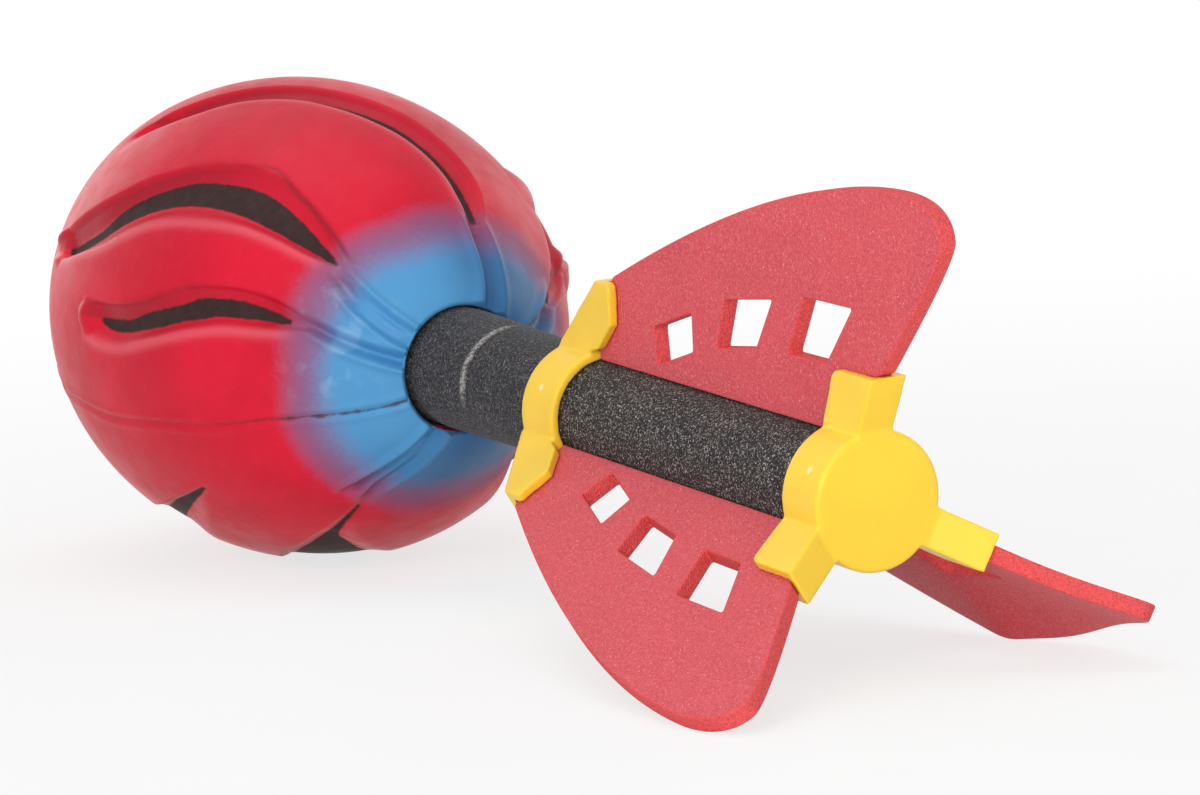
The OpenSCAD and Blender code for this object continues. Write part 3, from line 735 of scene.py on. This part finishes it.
def foam_tube_paint(name, grey, speck, glitter, creased=False):
    """Closed-cell foam: crinkled dark skin whose cell walls catch the light as short bright streaks."""
    m = Shader(name)
    crinkle = m.noise(2500, 1.5, 0.55)
    ridge = m.step(m.math("ABSOLUTE", m.math("SUBTRACT", crinkle, 0.5)), 0.055, 0.0)
    bright = m.times(ridge, m.step(m.noise(2100, 2, 0.6), 0.49, 0.60), glitter)
    base = m.blend(m.step(m.noise(90, 3, 0.5), 0.3, 0.7), shade(grey, 0.75), shade(grey, 1.15))
    base = m.blend(m.step(m.noise(1300, 2, 0.6), 0.35, 0.62), shade(grey, 0.30), base)
    base = m.blend(bright, base, speck)
    if creased:
        # A pale, broken line on the crease's ridge, on the side towards the lamps: painted highlight.
        lean = m.math("ABSOLUTE", m.plus(m.value("crease"), m.jitter(m.noise(500, 2, 0.6), 0.45)))
        broken = m.step(m.noise(1500, 2, 0.7), 0.38, 0.56, 0.15, 1.0)
        ridge_highlight = m.times(m.step(lean, 1.25, 0.25), m.value("wear"), broken)
        base = m.blend(ridge_highlight, base, (0.36, 0.34, 0.33))
    low = m.bump(crinkle, 0.00035, 0.7)
    high = m.bump(m.noise(3000, 2, 0.6), 0.00012, 0.5, low)
    return m.surface(base, 0.70, high, Sheen_Weight=0.04, Sheen_Roughness=0.4, Specular_IOR_Level=0.20)


# ---------------------------------------------------------------- holders


def softened(node, name):
    """A moulding with the CAD node's shape and the small round edges of a real one."""
    source = frame["nodes"][node]
    holders = bpy.context.scene.toy_holders
    piece = bpy.data.objects.new(name, source.data.copy())
    piece.matrix_world = source.matrix_world.copy()
    bpy.context.scene.collection.objects.link(piece)
    piece.data.materials.clear()
    remesh = piece.modifiers.new("grain", "REMESH")
    remesh.mode = "VOXEL"
    remesh.voxel_size = holders.edge * 1
    soft = piece.modifiers.new("soft", "SMOOTH")
    soft.factor = 0.5
    soft.iterations = 15
    thinning_and_lit_blue = piece.modifiers.new("thinning_and_lit_blue", "DECIMATE")
    thinning_and_lit_blue.ratio = 0.45
    seen = piece.evaluated_get(bpy.context.evaluated_depsgraph_get())
    mesh = bpy.data.meshes.new_from_object(seen)
    piece.modifiers.clear()
    piece.data = mesh
    mesh.polygons.foreach_set("use_smooth", [True] * len(mesh.polygons))
    return piece


def moulded_yellow(name, shade_tone, gate):
    """Satin moulded plastic with faint flow marks, fine handling scratches and a pale gate mark."""
    holders = bpy.context.scene.toy_holders
    m = Shader(name)
    # shade_tone darkens the whole moulding: painted shade.
    dark, light = shade(holders.yellow, 0.95 * shade_tone), shade(holders.yellow, 1.03 * shade_tone)
    base = m.blend(m.step(m.noise(55, 3, 0.5), 0.3, 0.7), dark, light)
    pip = m.node("ShaderNodeVectorMath", [("operation", "DISTANCE")])
    m.put(pip.inputs[0], m.place())
    m.put(pip.inputs[1], laid_down([gate])[0])
    broken = m.plus(pip.outputs["Value"], m.jitter(m.noise(1500, 2, 0.5), 0.0004))
    base = m.blend(m.step(broken, 0.0008, 0.0004, 0.0, 0.60), base, (1.0, 0.93, 0.72))
    scuff = m.noise(900, 4, 0.75)
    rough = m.step(scuff, 0.35, 0.75, 0.30, 0.42)
    waves = m.bump(m.noise(130, 2, 0.5), 0.0002, 0.35)
    fine = m.bump(scuff, 0.00004, 0.4, waves)
    depth = {"Subsurface_Weight": 0.12, "Subsurface_Radius": (1.0, 0.55, 0.12), "Subsurface_Scale": 0.0012}
    return m.surface(base, rough, fine, Specular_IOR_Level=0.32, **depth)


# ---------------------------------------------------------------- fins

# Sizes of the holders and the sleeve that the fins fit, in millimetres, as in the CAD.
CAP_LENGTH, RUN, COLLAR_LENGTH = 11.8, 83.0, 12.0
HOLDER_R, CAP_ARM_R, CAP_LEAN = 12.5, 22.5, 5.0
COLLAR_ARM_R, COLLAR_LEAN, COLLAR_REACH = 26.5, 15.2, 20.4
PLATE, GAP, SLEEVE_R = 1.5, 0.3, 10.5
LEAD_ANGLE = 23.6  # how steeply the fin's outer edge starts
CUT_ROUNDING, CORNER_RADIUS = 0.28, 0.7  # of the sheet's edges, and of the windows' corners
# Windows: middle, inner and outer width, height, how far the outer side leans back, and slope in degrees.
WINDOWS = (
    ((-66.3, 18.8), 14.0, 14.8, 7.0, -0.3, 18.0),
    ((-41.4, 25.2), 14.1, 16.7, 9.4, 5.0, 8.0),
    ((-15.7, 27.7), 12.6, 15.8, 10.8, 7.6, 0.5),
)


def fin_lines():
    """The fin's outline as (behind the disc, from the axis) points, and two of its corners."""
    fins = bpy.context.scene.toy_fins
    span, over = fins.span * MM, fins.overhang * MM
    run = math.hypot(COLLAR_LEAN, COLLAR_ARM_R - HOLDER_R)
    ux, ur = COLLAR_LEAN / run, (COLLAR_ARM_R - HOLDER_R) / run
    depth = PLATE + GAP
    x0, r0 = -(CAP_LENGTH + RUN + COLLAR_LENGTH) + depth * ur, HOLDER_R - depth * ux
    step = HOLDER_R + GAP
    nose = (x0 + (step - r0) * ux / ur, step)
    lead = (x0 + (COLLAR_ARM_R + 1 - r0) * ux / ur, COLLAR_ARM_R + 1)
    crown, tail = (over - 14, span), (over, span - 7.2)
    heel = (CAP_LEAN - GAP, CAP_ARM_R + 0.7)
    # Three curves, with their handles in millimetres: the outer edge, round the tip, and back to the heel.
    turn = math.radians(LEAD_ANGLE)
    rising = (lead[0] + 35 * math.cos(turn), lead[1] + 35 * math.sin(turn))
    outer = bezier(lead, rising, (crown[0] - 28.6, crown[1]), crown, 110)
    tip = bezier(crown, (crown[0] + 9, crown[1]), (tail[0], tail[1] + 4.6), tail, 26, 1)
    trail = bezier(tail, (tail[0] - 0.6, tail[1] - 3.5), (heel[0] + 6, heel[1] + 6.5), heel, 34, 1)
    plate = [(CAP_LEAN * (r - HOLDER_R) / (CAP_ARM_R - HOLDER_R) - depth, r) for r in (CAP_ARM_R, step)]
    front, back, root = -CAP_LENGTH - GAP, -CAP_LENGTH - RUN + GAP, SLEEVE_R + GAP
    foot = [*plate, (front, step), (front, root), (back, root), (back, step)]
    outline = np.vstack([[nose], outer, tip, trail, foot])
    return outline, lead, crown


def window_corners(window):
    """The four corners of a window, from its row in WINDOWS."""
    middle, inner, outer, high, shift, slope = window
    k = np.array((math.cos(math.radians(slope)), math.sin(math.radians(slope)))) / 2
    c, half = np.array(middle), np.array((shift / 2, high / 2))
    return np.array([c - half - k * inner, c - half + k * inner, c + half + k * outer, c + half - k * outer])


def rounded(corners, radius, n=5):
    """A closed outline with its corners rounded."""
    out = []
    for i in range(len(corners)):
        a, b, c = corners[i - 1], corners[i], corners[(i + 1) % len(corners)]
        u, v = (a - b) / np.linalg.norm(a - b), (c - b) / np.linalg.norm(c - b)
        for t in np.linspace(0, 1, n):
            out.append((1 - t) ** 2 * (b + u * radius) + 2 * t * (1 - t) * b + t**2 * (b + v * radius))
    return np.array(out)


def filled_in(loop, step):
    """A closed outline with points no further apart than a step."""
    out = []
    for a, b in zip(loop, np.roll(loop, -1, axis=0)):
        n = max(1, math.ceil(np.linalg.norm(b - a) / step))
        out += [a + (b - a) * k / n for k in range(n)]
    return np.array(out)


def drawn_in(loop, amount):
    """A closed outline moved inwards, towards its material, by an amount."""
    nxt, prv = np.roll(loop, -1, axis=0), np.roll(loop, 1, axis=0)
    along = (nxt - loop) / np.linalg.norm(nxt - loop, axis=1)[:, None]
    before = (loop - prv) / np.linalg.norm(loop - prv, axis=1)[:, None]
    normal = np.stack([-(along + before)[:, 1], (along + before)[:, 0]], 1)
    normal /= np.maximum(np.linalg.norm(normal, axis=1)[:, None], 1e-9)
    cosine = np.clip((normal * np.stack([-along[:, 1], along[:, 0]], 1)).sum(1), 0.5, 1)[:, None]
    return loop + normal * amount / cosine


def area(loop):
    """The area inside a closed outline, negative where it runs clockwise."""
    x, y = loop[:, 0], loop[:, 1]
    return 0.5 * np.sum(x * np.roll(y, -1) - y * np.roll(x, -1))


def fin_sheet():
    """The die-cut sheet, flat, with material 1 on its cut edges, and what the bow needs to know of it."""
    half, edge = bpy.context.scene.toy_fins.sheet * MM / 2, CUT_ROUNDING
    outline, lead, crown = fin_lines()
    step = 1.0
    openings = [rounded(window_corners(w), CORNER_RADIUS) for w in WINDOWS]
    loops = [filled_in(loop, step) for loop in (outline, *openings)]
    # The material is on the left of each loop, so its left side is inwards.
    loops = [l if (area(l) > 0) == (i == 0) else l[::-1] for i, l in enumerate(loops)]
    below = ((edge, -half), (edge * 0.3, -half + edge * 0.3), (0, -half + edge))
    rims = (*below, *((inward, -across) for inward, across in reversed(below)))
    work = bmesh.new()
    edges = {0: [], len(rims) - 1: []}
    for loop in loops:
        rings = [[work.verts.new((x, across, r)) for x, r in drawn_in(loop, inward)] for inward, across in rims]
        for ra, rb in zip(rings, rings[1:]):
            for corners in zip(ra, ra[1:] + ra[:1], rb[1:] + rb[:1], rb):
                work.faces.new(corners).material_index = 1
        for side, found in edges.items():
            ring = rings[side]
            found += [work.edges.get(pair) for pair in zip(ring, ring[1:] + ring[:1])]
    for found in edges.values():
        bmesh.ops.triangle_fill(work, edges=found, use_beauty=True, use_dissolve=False)
    return work, lead, crown, outline


def sliced(work, outline, step):
    """The sheet's broad faces cut into a fine grid, so that they can bend."""
    nudge = 0.013  # so that no cut runs through a point of the outline
    for axis, low, high in zip((Vector((1, 0, 0)), Vector((0, 0, 1))), outline.min(0), outline.max(0)):
        for at in np.arange(low + step, high, step):
            parts = work.verts[:] + work.edges[:] + work.faces[:]
            bmesh.ops.bisect_plane(work, geom=parts, plane_co=axis * (at + nudge), plane_no=axis, dist=1e-4)


def bowed(points, lead, crown):
    """Where the points of the flat sheet go on the fin that the toy leans on, as in the CAD.

    The push across the sheet rises from the front holder to the crest and falls again to the tips. It is
    nothing where the holders grip the sheet and grows towards the outer edge, which it also draws in.
    """
    fins = bpy.context.scene.toy_fins
    span, over, crest, bow = (v * MM for v in (fins.span, fins.overhang, fins.crest, fins.bow))
    x, t, r = points[:, 0], points[:, 1], points[:, 2]
    start = -CAP_LENGTH - RUN + (COLLAR_REACH - COLLAR_LENGTH) + 0.5
    edge = span - (span - lead[1]) * np.clip((crown[0] - x) / (crown[0] - lead[0]), 0, 1) ** 1.6
    u = np.maximum(0, (x - start) / (-crest - start))
    v = (x + crest) / (over + crest)
    up = u * (1.3 - 0.3 * np.minimum(1, u))
    down = 1.15 * np.clip(1 - v, 0, 1.2) ** 1.4 - 0.15
    round_off = 0.12  # how softly the rise turns into the fall
    h = np.clip(0.5 + (down - up) / (2 * round_off), 0, 1)
    rise = down + (up - down) * h - round_off * h * (1 - h)
    hold = HOLDER_R + (CAP_ARM_R - HOLDER_R) * smoothstep((x + 30) / 20)
    q = np.maximum(0, (r - hold) / (edge - hold))
    push = bow * rise * np.minimum(1.1, q) ** 1.3
    out = np.maximum(0, r - CAP_ARM_R - 0.7)
    s = 0.17 * smoothstep((x + 12) / 30)
    return np.stack([x - out * s / 2, push + t, r - out * s], 1)


def fin_piece(name, turn, bent):
    """A fin turned about the toy's axis, flat or bowed."""
    work, lead, crown, outline = fin_sheet()
    if bent:
        sliced(work, outline, 1.6)
    bmesh.ops.recalc_face_normals(work, faces=work.faces[:])
    mesh = bpy.data.meshes.new(name)
    work.to_mesh(mesh)
    work.free()
    flat = np.array([v.co for v in mesh.vertices])
    placed = bowed(flat, lead, crown) if bent else flat.copy()
    placed[:, 0] += bpy.context.scene.toy_rest.ball_to_disc * MM
    c, s = math.cos(math.radians(turn)), math.sin(math.radians(turn))
    y, z = placed[:, 1] * c - placed[:, 2] * s, placed[:, 1] * s + placed[:, 2] * c
    world = laid_down(np.stack([placed[:, 0], y, z], 1))
    mesh.vertices.foreach_set("co", world.astype(np.float32).ravel())
    mesh.polygons.foreach_set("use_smooth", [bool(bent)] * len(mesh.polygons))
    mesh.update()
    piece = bpy.data.objects.new(name, mesh)
    bpy.context.scene.collection.objects.link(piece)
    if bent:
        mesh.set_sharp_from_angle(angle=math.radians(50))
    return piece


def fin_face_paint(name):
    """Skinned face of the foam sheet: coral, with fine pale mottling and pinholes."""
    fins = bpy.context.scene.toy_fins
    m = Shader(name)
    fine = m.noise(1500, 4, 0.7)
    base = m.blend(m.step(m.noise(45, 3, 0.55), 0.3, 0.7), shade(fins.face, 0.94), shade(fins.face, 1.05))
    base = m.blend(m.step(fine, 0.40, 0.62, 0.0, 0.42), base, (0.80, 0.155, 0.175))
    base = m.blend(m.step(m.noise(2300, 3, 0.6), 0.50, 0.66, 0.0, 0.50), base, (0.46, 0.034, 0.050))
    base = m.blend(m.step(m.noise(3200, 1, 0.5), 0.64, 0.74, 0.0, 0.55), base, (0.95, 0.55, 0.53))
    low = m.bump(fine, 0.00022, 0.6)
    high = m.bump(m.cells(1900), 0.00012, 0.4, low)
    sheen = {"Sheen_Weight": 0.08, "Sheen_Roughness": 0.5, "Sheen_Tint": (1.0, 0.8, 0.8)}
    return m.surface(base, 0.66, high, Specular_IOR_Level=0.30, **sheen)


def fin_cut_paint(name):
    """Cut edge of the foam sheet: open cells, brighter and rougher than the skin."""
    fins = bpy.context.scene.toy_fins
    m = Shader(name)
    grain = m.noise(2000, 4, 0.7)
    base = m.blend(m.step(grain, 0.3, 0.7), shade(fins.cut, 0.82), shade(fins.cut, 1.12))
    base = m.blend(m.step(m.noise(3200, 2, 0.6), 0.58, 0.70, 0.0, 0.65), base, (0.34, 0.012, 0.020))
    low = m.bump(m.cells(2400), 0.00030, 0.8)
    high = m.bump(grain, 0.00022, 0.8, low)
    return m.surface(base, 0.82, high, Specular_IOR_Level=0.3)


# ---------------------------------------------------------------- stage

WHITE = (1, 1, 1)


def soft_lamp(name, where, at, size, power):
    """A plain rectangular lamp that looks at a point."""
    light = bpy.data.lights.new(name, "AREA")
    light.shape = "RECTANGLE"
    light.size, light.size_y = size
    light.energy = power
    lamp = bpy.data.objects.new(name, light)
    lamp.location = where
    lamp.rotation_euler = (Vector(at) - Vector(where)).to_track_quat("-Z", "Y").to_euler()
    bpy.context.scene.collection.objects.link(lamp)


def floor_paint():
    """Pale floor that the camera sees near white, with the toy's soft shadow on it."""
    floor = bpy.context.scene.toy_stage.floor
    m = Shader("studio_floor")
    pale = m.blend(m.step(m.noise(30, 3, 0.5), 0.3, 0.7), shade(floor, 0.99), shade(floor, 1.01))
    matt = m.node("ShaderNodeBsdfDiffuse", Color=pale)
    glow = m.node("ShaderNodeEmission", Color=WHITE, Strength=1.0)
    path = m.node("ShaderNodeLightPath")
    seen = m.math("MAXIMUM", path.outputs["Is Camera Ray"], path.outputs["Is Glossy Ray"])
    seen = m.math("MAXIMUM", seen, path.outputs["Is Transmission Ray"])
    reach = m.node("ShaderNodeVectorMath", [("operation", "LENGTH")])
    m.put(reach.inputs[0], m.place())
    share = m.times(seen, m.step(reach.outputs["Value"], 0.16, 0.70, 0.74, 1.0))
    return m.mixed_surface(share, matt, glow)


def white_world():
    """Even light all round, which the camera and the reflections see as plain white."""
    m = Shader("studio", "worlds", "ShaderNodeOutputWorld")
    even = m.node("ShaderNodeBackground", Color=WHITE, Strength=bpy.context.scene.toy_stage.sky)
    plain = m.node("ShaderNodeBackground", Color=WHITE, Strength=1.0)
    path = m.node("ShaderNodeLightPath")
    seen = m.math("MAXIMUM", path.outputs["Is Camera Ray"], path.outputs["Is Glossy Ray"])
    return m.mixed_surface(seen, even, plain)


# ---------------------------------------------------------------- operators


class TOY_OT_ball(bpy.types.Operator):
    """Make the grooved foam ball with its sprayed skin"""

    bl_idname = "toy.ball"
    bl_label = "Ball"

    def execute(self, context):
        piece = ball_mesh()
        piece.data.materials.append(ball_paint())
        settle(piece, "foam_head")
        return {"FINISHED"}


class TOY_OT_sleeves(bpy.types.Operator):
    """Make the two foam sleeves on the tube"""

    bl_idname = "toy.sleeves"
    bl_label = "Sleeves"

    def execute(self, context):
        sleeves = context.scene.toy_sleeves
        ball = context.scene.toy_ball
        disc = context.scene.toy_rest.ball_to_disc * MM
        open_share = (ball.socket_radius + ball.mouth_flare) / (ball.width / 2)
        mouth = (ball.length / 2 * math.sqrt(1 - open_share**2) + ball.swell) * MM
        start = mouth - ball.socket_depth * MM + GAP
        collar = disc - CAP_LENGTH - RUN - COLLAR_LENGTH
        web = collar + (COLLAR_LENGTH - PLATE) / 2
        r0, r1, r2 = (v * MM for v in (sleeves.grip_at_ball, sleeves.grip_at_collar, sleeves.fin_sleeve))
        inner = [(start, CORE_RADIUS), (start, r0 - 0.4), (start + 0.4, r0), (mouth, r0)]
        outer = [(collar - GAP, r1), (web - GAP, r1), (web - GAP, CORE_RADIUS)]
        grip, station, turn = sleeve_mesh("grip_foam_tube", inner + outer, grip_dents)
        turn = np.where(turn > 270, turn - 360, turn)
        store(grip.data, "crease", station - GRIP_CREASE + 0.6 * np.sin(np.radians(turn * 1.4)))
        # The side of the grip where the crease's painted highlight shows.
        store(grip.data, "wear", smoothstep((turn + 10) / 25) * smoothstep((112 - turn) / 30))
        grip.data.materials.append(foam_tube_paint("grip_foam", sleeves.grip_grey, sleeves.speck, 0.38, True))
        settle(grip, "grip_sleeve")
        start, end = web + PLATE + GAP, disc - PLATE - GAP
        line = [(start, CORE_RADIUS), (start, r2), (end, r2), (end, CORE_RADIUS)]
        under, _, _ = sleeve_mesh("fin_foam_tube", line, sleeve_dents)
        under.data.materials.append(foam_tube_paint("sleeve_foam", sleeves.sleeve_grey, sleeves.speck, 0.85))
        settle(under, "fin_sleeve")
        return {"FINISHED"}


class TOY_OT_holders(bpy.types.Operator):
    """Make the two moulded fin holders with softened edges"""

    bl_idname = "toy.holders"
    bl_label = "Fin holders"

    def execute(self, context):
        disc = context.scene.toy_rest.ball_to_disc * MM
        # The front holder's yellow is painted darker than the tail cap's, as shade.
        for node, name, slot, shade_tone, behind, turn in (
            ("fin_collar", "front_holder", "holder_plastic", 0.93, -100.7, 62),
            ("tail_cap", "tail_holder", "cap_plastic", 1.0, -4.7, 59),
        ):
            piece = softened(node, name)
            a = math.radians(turn)
            gate = (disc + behind, -HOLDER_R * math.sin(a), HOLDER_R * math.cos(a))
            piece.data.materials.append(moulded_yellow(name + "_plastic", shade_tone, gate))
            settle(piece, node)
        return {"FINISHED"}


class TOY_OT_fins(bpy.types.Operator):
    """Make the three die-cut foam fins, the one that the toy leans on bowed"""

    bl_idname = "toy.fins"
    bl_label = "Fins"

    def execute(self, context):
        for node, turn, bent, slot in (
            ("fin_top", 0, False, "fin_foam"),
            ("fin_left", 120, False, "fin_foam_left"),
            ("fin_right", 240, True, "fin_foam_right"),
        ):
            piece = fin_piece(node + "_sheet", turn, bent)
            piece.data.materials.append(fin_face_paint(node + "_skin"))
            piece.data.materials.append(fin_cut_paint(node + "_cut"))
            settle(piece, node)
        return {"FINISHED"}


class TOY_OT_core(bpy.types.Operator):
    """Finish the core tube"""

    bl_idname = "toy.core"
    bl_label = "Core tube"

    def execute(self, context):
        m = Shader("core_tube_plastic")
        streak = m.noise(400, 3, 0.6)
        base = m.blend(m.step(streak, 0.3, 0.7), (0.60, 0.60, 0.58), (0.68, 0.68, 0.66))
        paint = m.surface(base, 0.45, m.bump(streak, 0.00005, 0.4))
        tube = frame["nodes"]["core_tube"]
        if not tube.material_slots:
            raise RuntimeError("the core tube has no material slot")
        for slot in tube.material_slots:
            slot.material = paint
        return {"FINISHED"}


class TOY_OT_stage(bpy.types.Operator):
    """Set the floor, the white studio, the lamps and the camera"""

    bl_idname = "toy.stage"
    bl_label = "Stage"

    def execute(self, context):
        scene, stage = context.scene, context.scene.toy_stage
        mesh = bpy.data.meshes.new("floor")
        mesh.from_pydata([(-7, -7, 0), (7, -7, 0), (7, 7, 0), (-7, 7, 0)], [], [(0, 1, 2, 3)])
        floor = bpy.data.objects.new("floor", mesh)
        scene.collection.objects.link(floor)
        mesh.materials.append(floor_paint())
        scene.world = white_world()
        lie = rest_matrix()
        middle = lie @ Vector((0.12, 0, 0))
        for name, where, at, size, share in (
            ("key", (0.85, -0.88, 0.44), (0, 0, 0), (0.8, 0.8), 1.0),
            ("top", (-0.25, -0.15, 1.25), (0, 0, 0), (1.0, 1.0), 0.62),
            ("front", (1.20, -0.25, 0.35), (0, 0, 0), (0.7, 0.7), 0.18),
            ("low", (0.70, -0.35, 0.02), (0.13, 0.04, -0.02), (0.40, 0.10), 0.15),
            ("behind_left", (-1.15, -0.10, 0.30), (-0.12, 0, 0), (0.5, 0.5), 0.16),
            ("behind_right", (-0.50, 1.00, 0.50), (-0.12, 0, 0), (0.5, 0.7), 0.25),
        ):
            soft_lamp(name, middle + Vector(where), middle + Vector(at), size, stage.key * share)
        camera = bpy.data.cameras.new("camera")
        camera.sensor_width = 36
        camera.sensor_fit = "HORIZONTAL"
        camera.lens = stage.lens
        camera.clip_start = 0.01
        camera.clip_end = 100
        eye = bpy.data.objects.new("camera", camera)
        # The camera's right, up and back, and where it stands behind the disc, along the toy's axes.
        right, up = (0.483026, 0.874173, -0.050071), (-0.153761, 0.140978, 0.977999)
        back, where = (0.862000, -0.464701, 0.202510), (0.7109 + scene.toy_rest.ball_to_disc, -0.4362, 0.1929)
        look = Matrix([(*row, 0) for row in (right, up, back)] + [(*where, 1)]).transposed()
        eye.matrix_world = lie @ look
        scene.collection.objects.link(eye)
        scene.camera = eye
        scene.view_settings.view_transform = "Standard"
        return {"FINISHED"}


class TOY_PT_panel(bpy.types.Panel):
    """Buttons and settings for the throwing toy"""

    bl_idname = "TOY_PT_panel"
    bl_label = "Throwing Toy"
    bl_space_type = "VIEW_3D"
    bl_region_type = "UI"
    bl_category = "Throwing Toy"

    def draw(self, context):
        for key, group in GROUPS:
            box = self.layout.box()
            for name in group.__annotations__:
                box.prop(getattr(context.scene, key), name)
        for operator in STEPS:
            self.layout.operator(operator.bl_idname)


GROUPS = (
    ("toy_rest", ToyRest),
    ("toy_ball", ToyBall),
    ("toy_sleeves", ToySleeves),
    ("toy_holders", ToyHolders),
    ("toy_fins", ToyFins),
    ("toy_stage", ToyStage),
)
STEPS = (TOY_OT_stage, TOY_OT_ball, TOY_OT_sleeves, TOY_OT_holders, TOY_OT_fins, TOY_OT_core)


def register():
    for name, group in GROUPS:
        bpy.utils.register_class(group)
        setattr(bpy.types.Scene, name, bpy.props.PointerProperty(type=group))
    for step in STEPS:
        bpy.utils.register_class(step)
    bpy.utils.register_class(TOY_PT_panel)


def unregister():
    bpy.utils.unregister_class(TOY_PT_panel)
    for step in reversed(STEPS):
        bpy.utils.unregister_class(step)
    for name, group in reversed(GROUPS):
        delattr(bpy.types.Scene, name)
        bpy.utils.unregister_class(group)


def main():
    register()
    bpy.ops.toy.stage()
    bpy.ops.toy.ball()
    bpy.ops.toy.sleeves()
    bpy.ops.toy.holders()
    bpy.ops.toy.fins()
    bpy.ops.toy.core()


if __name__ == "__main__":
    main()
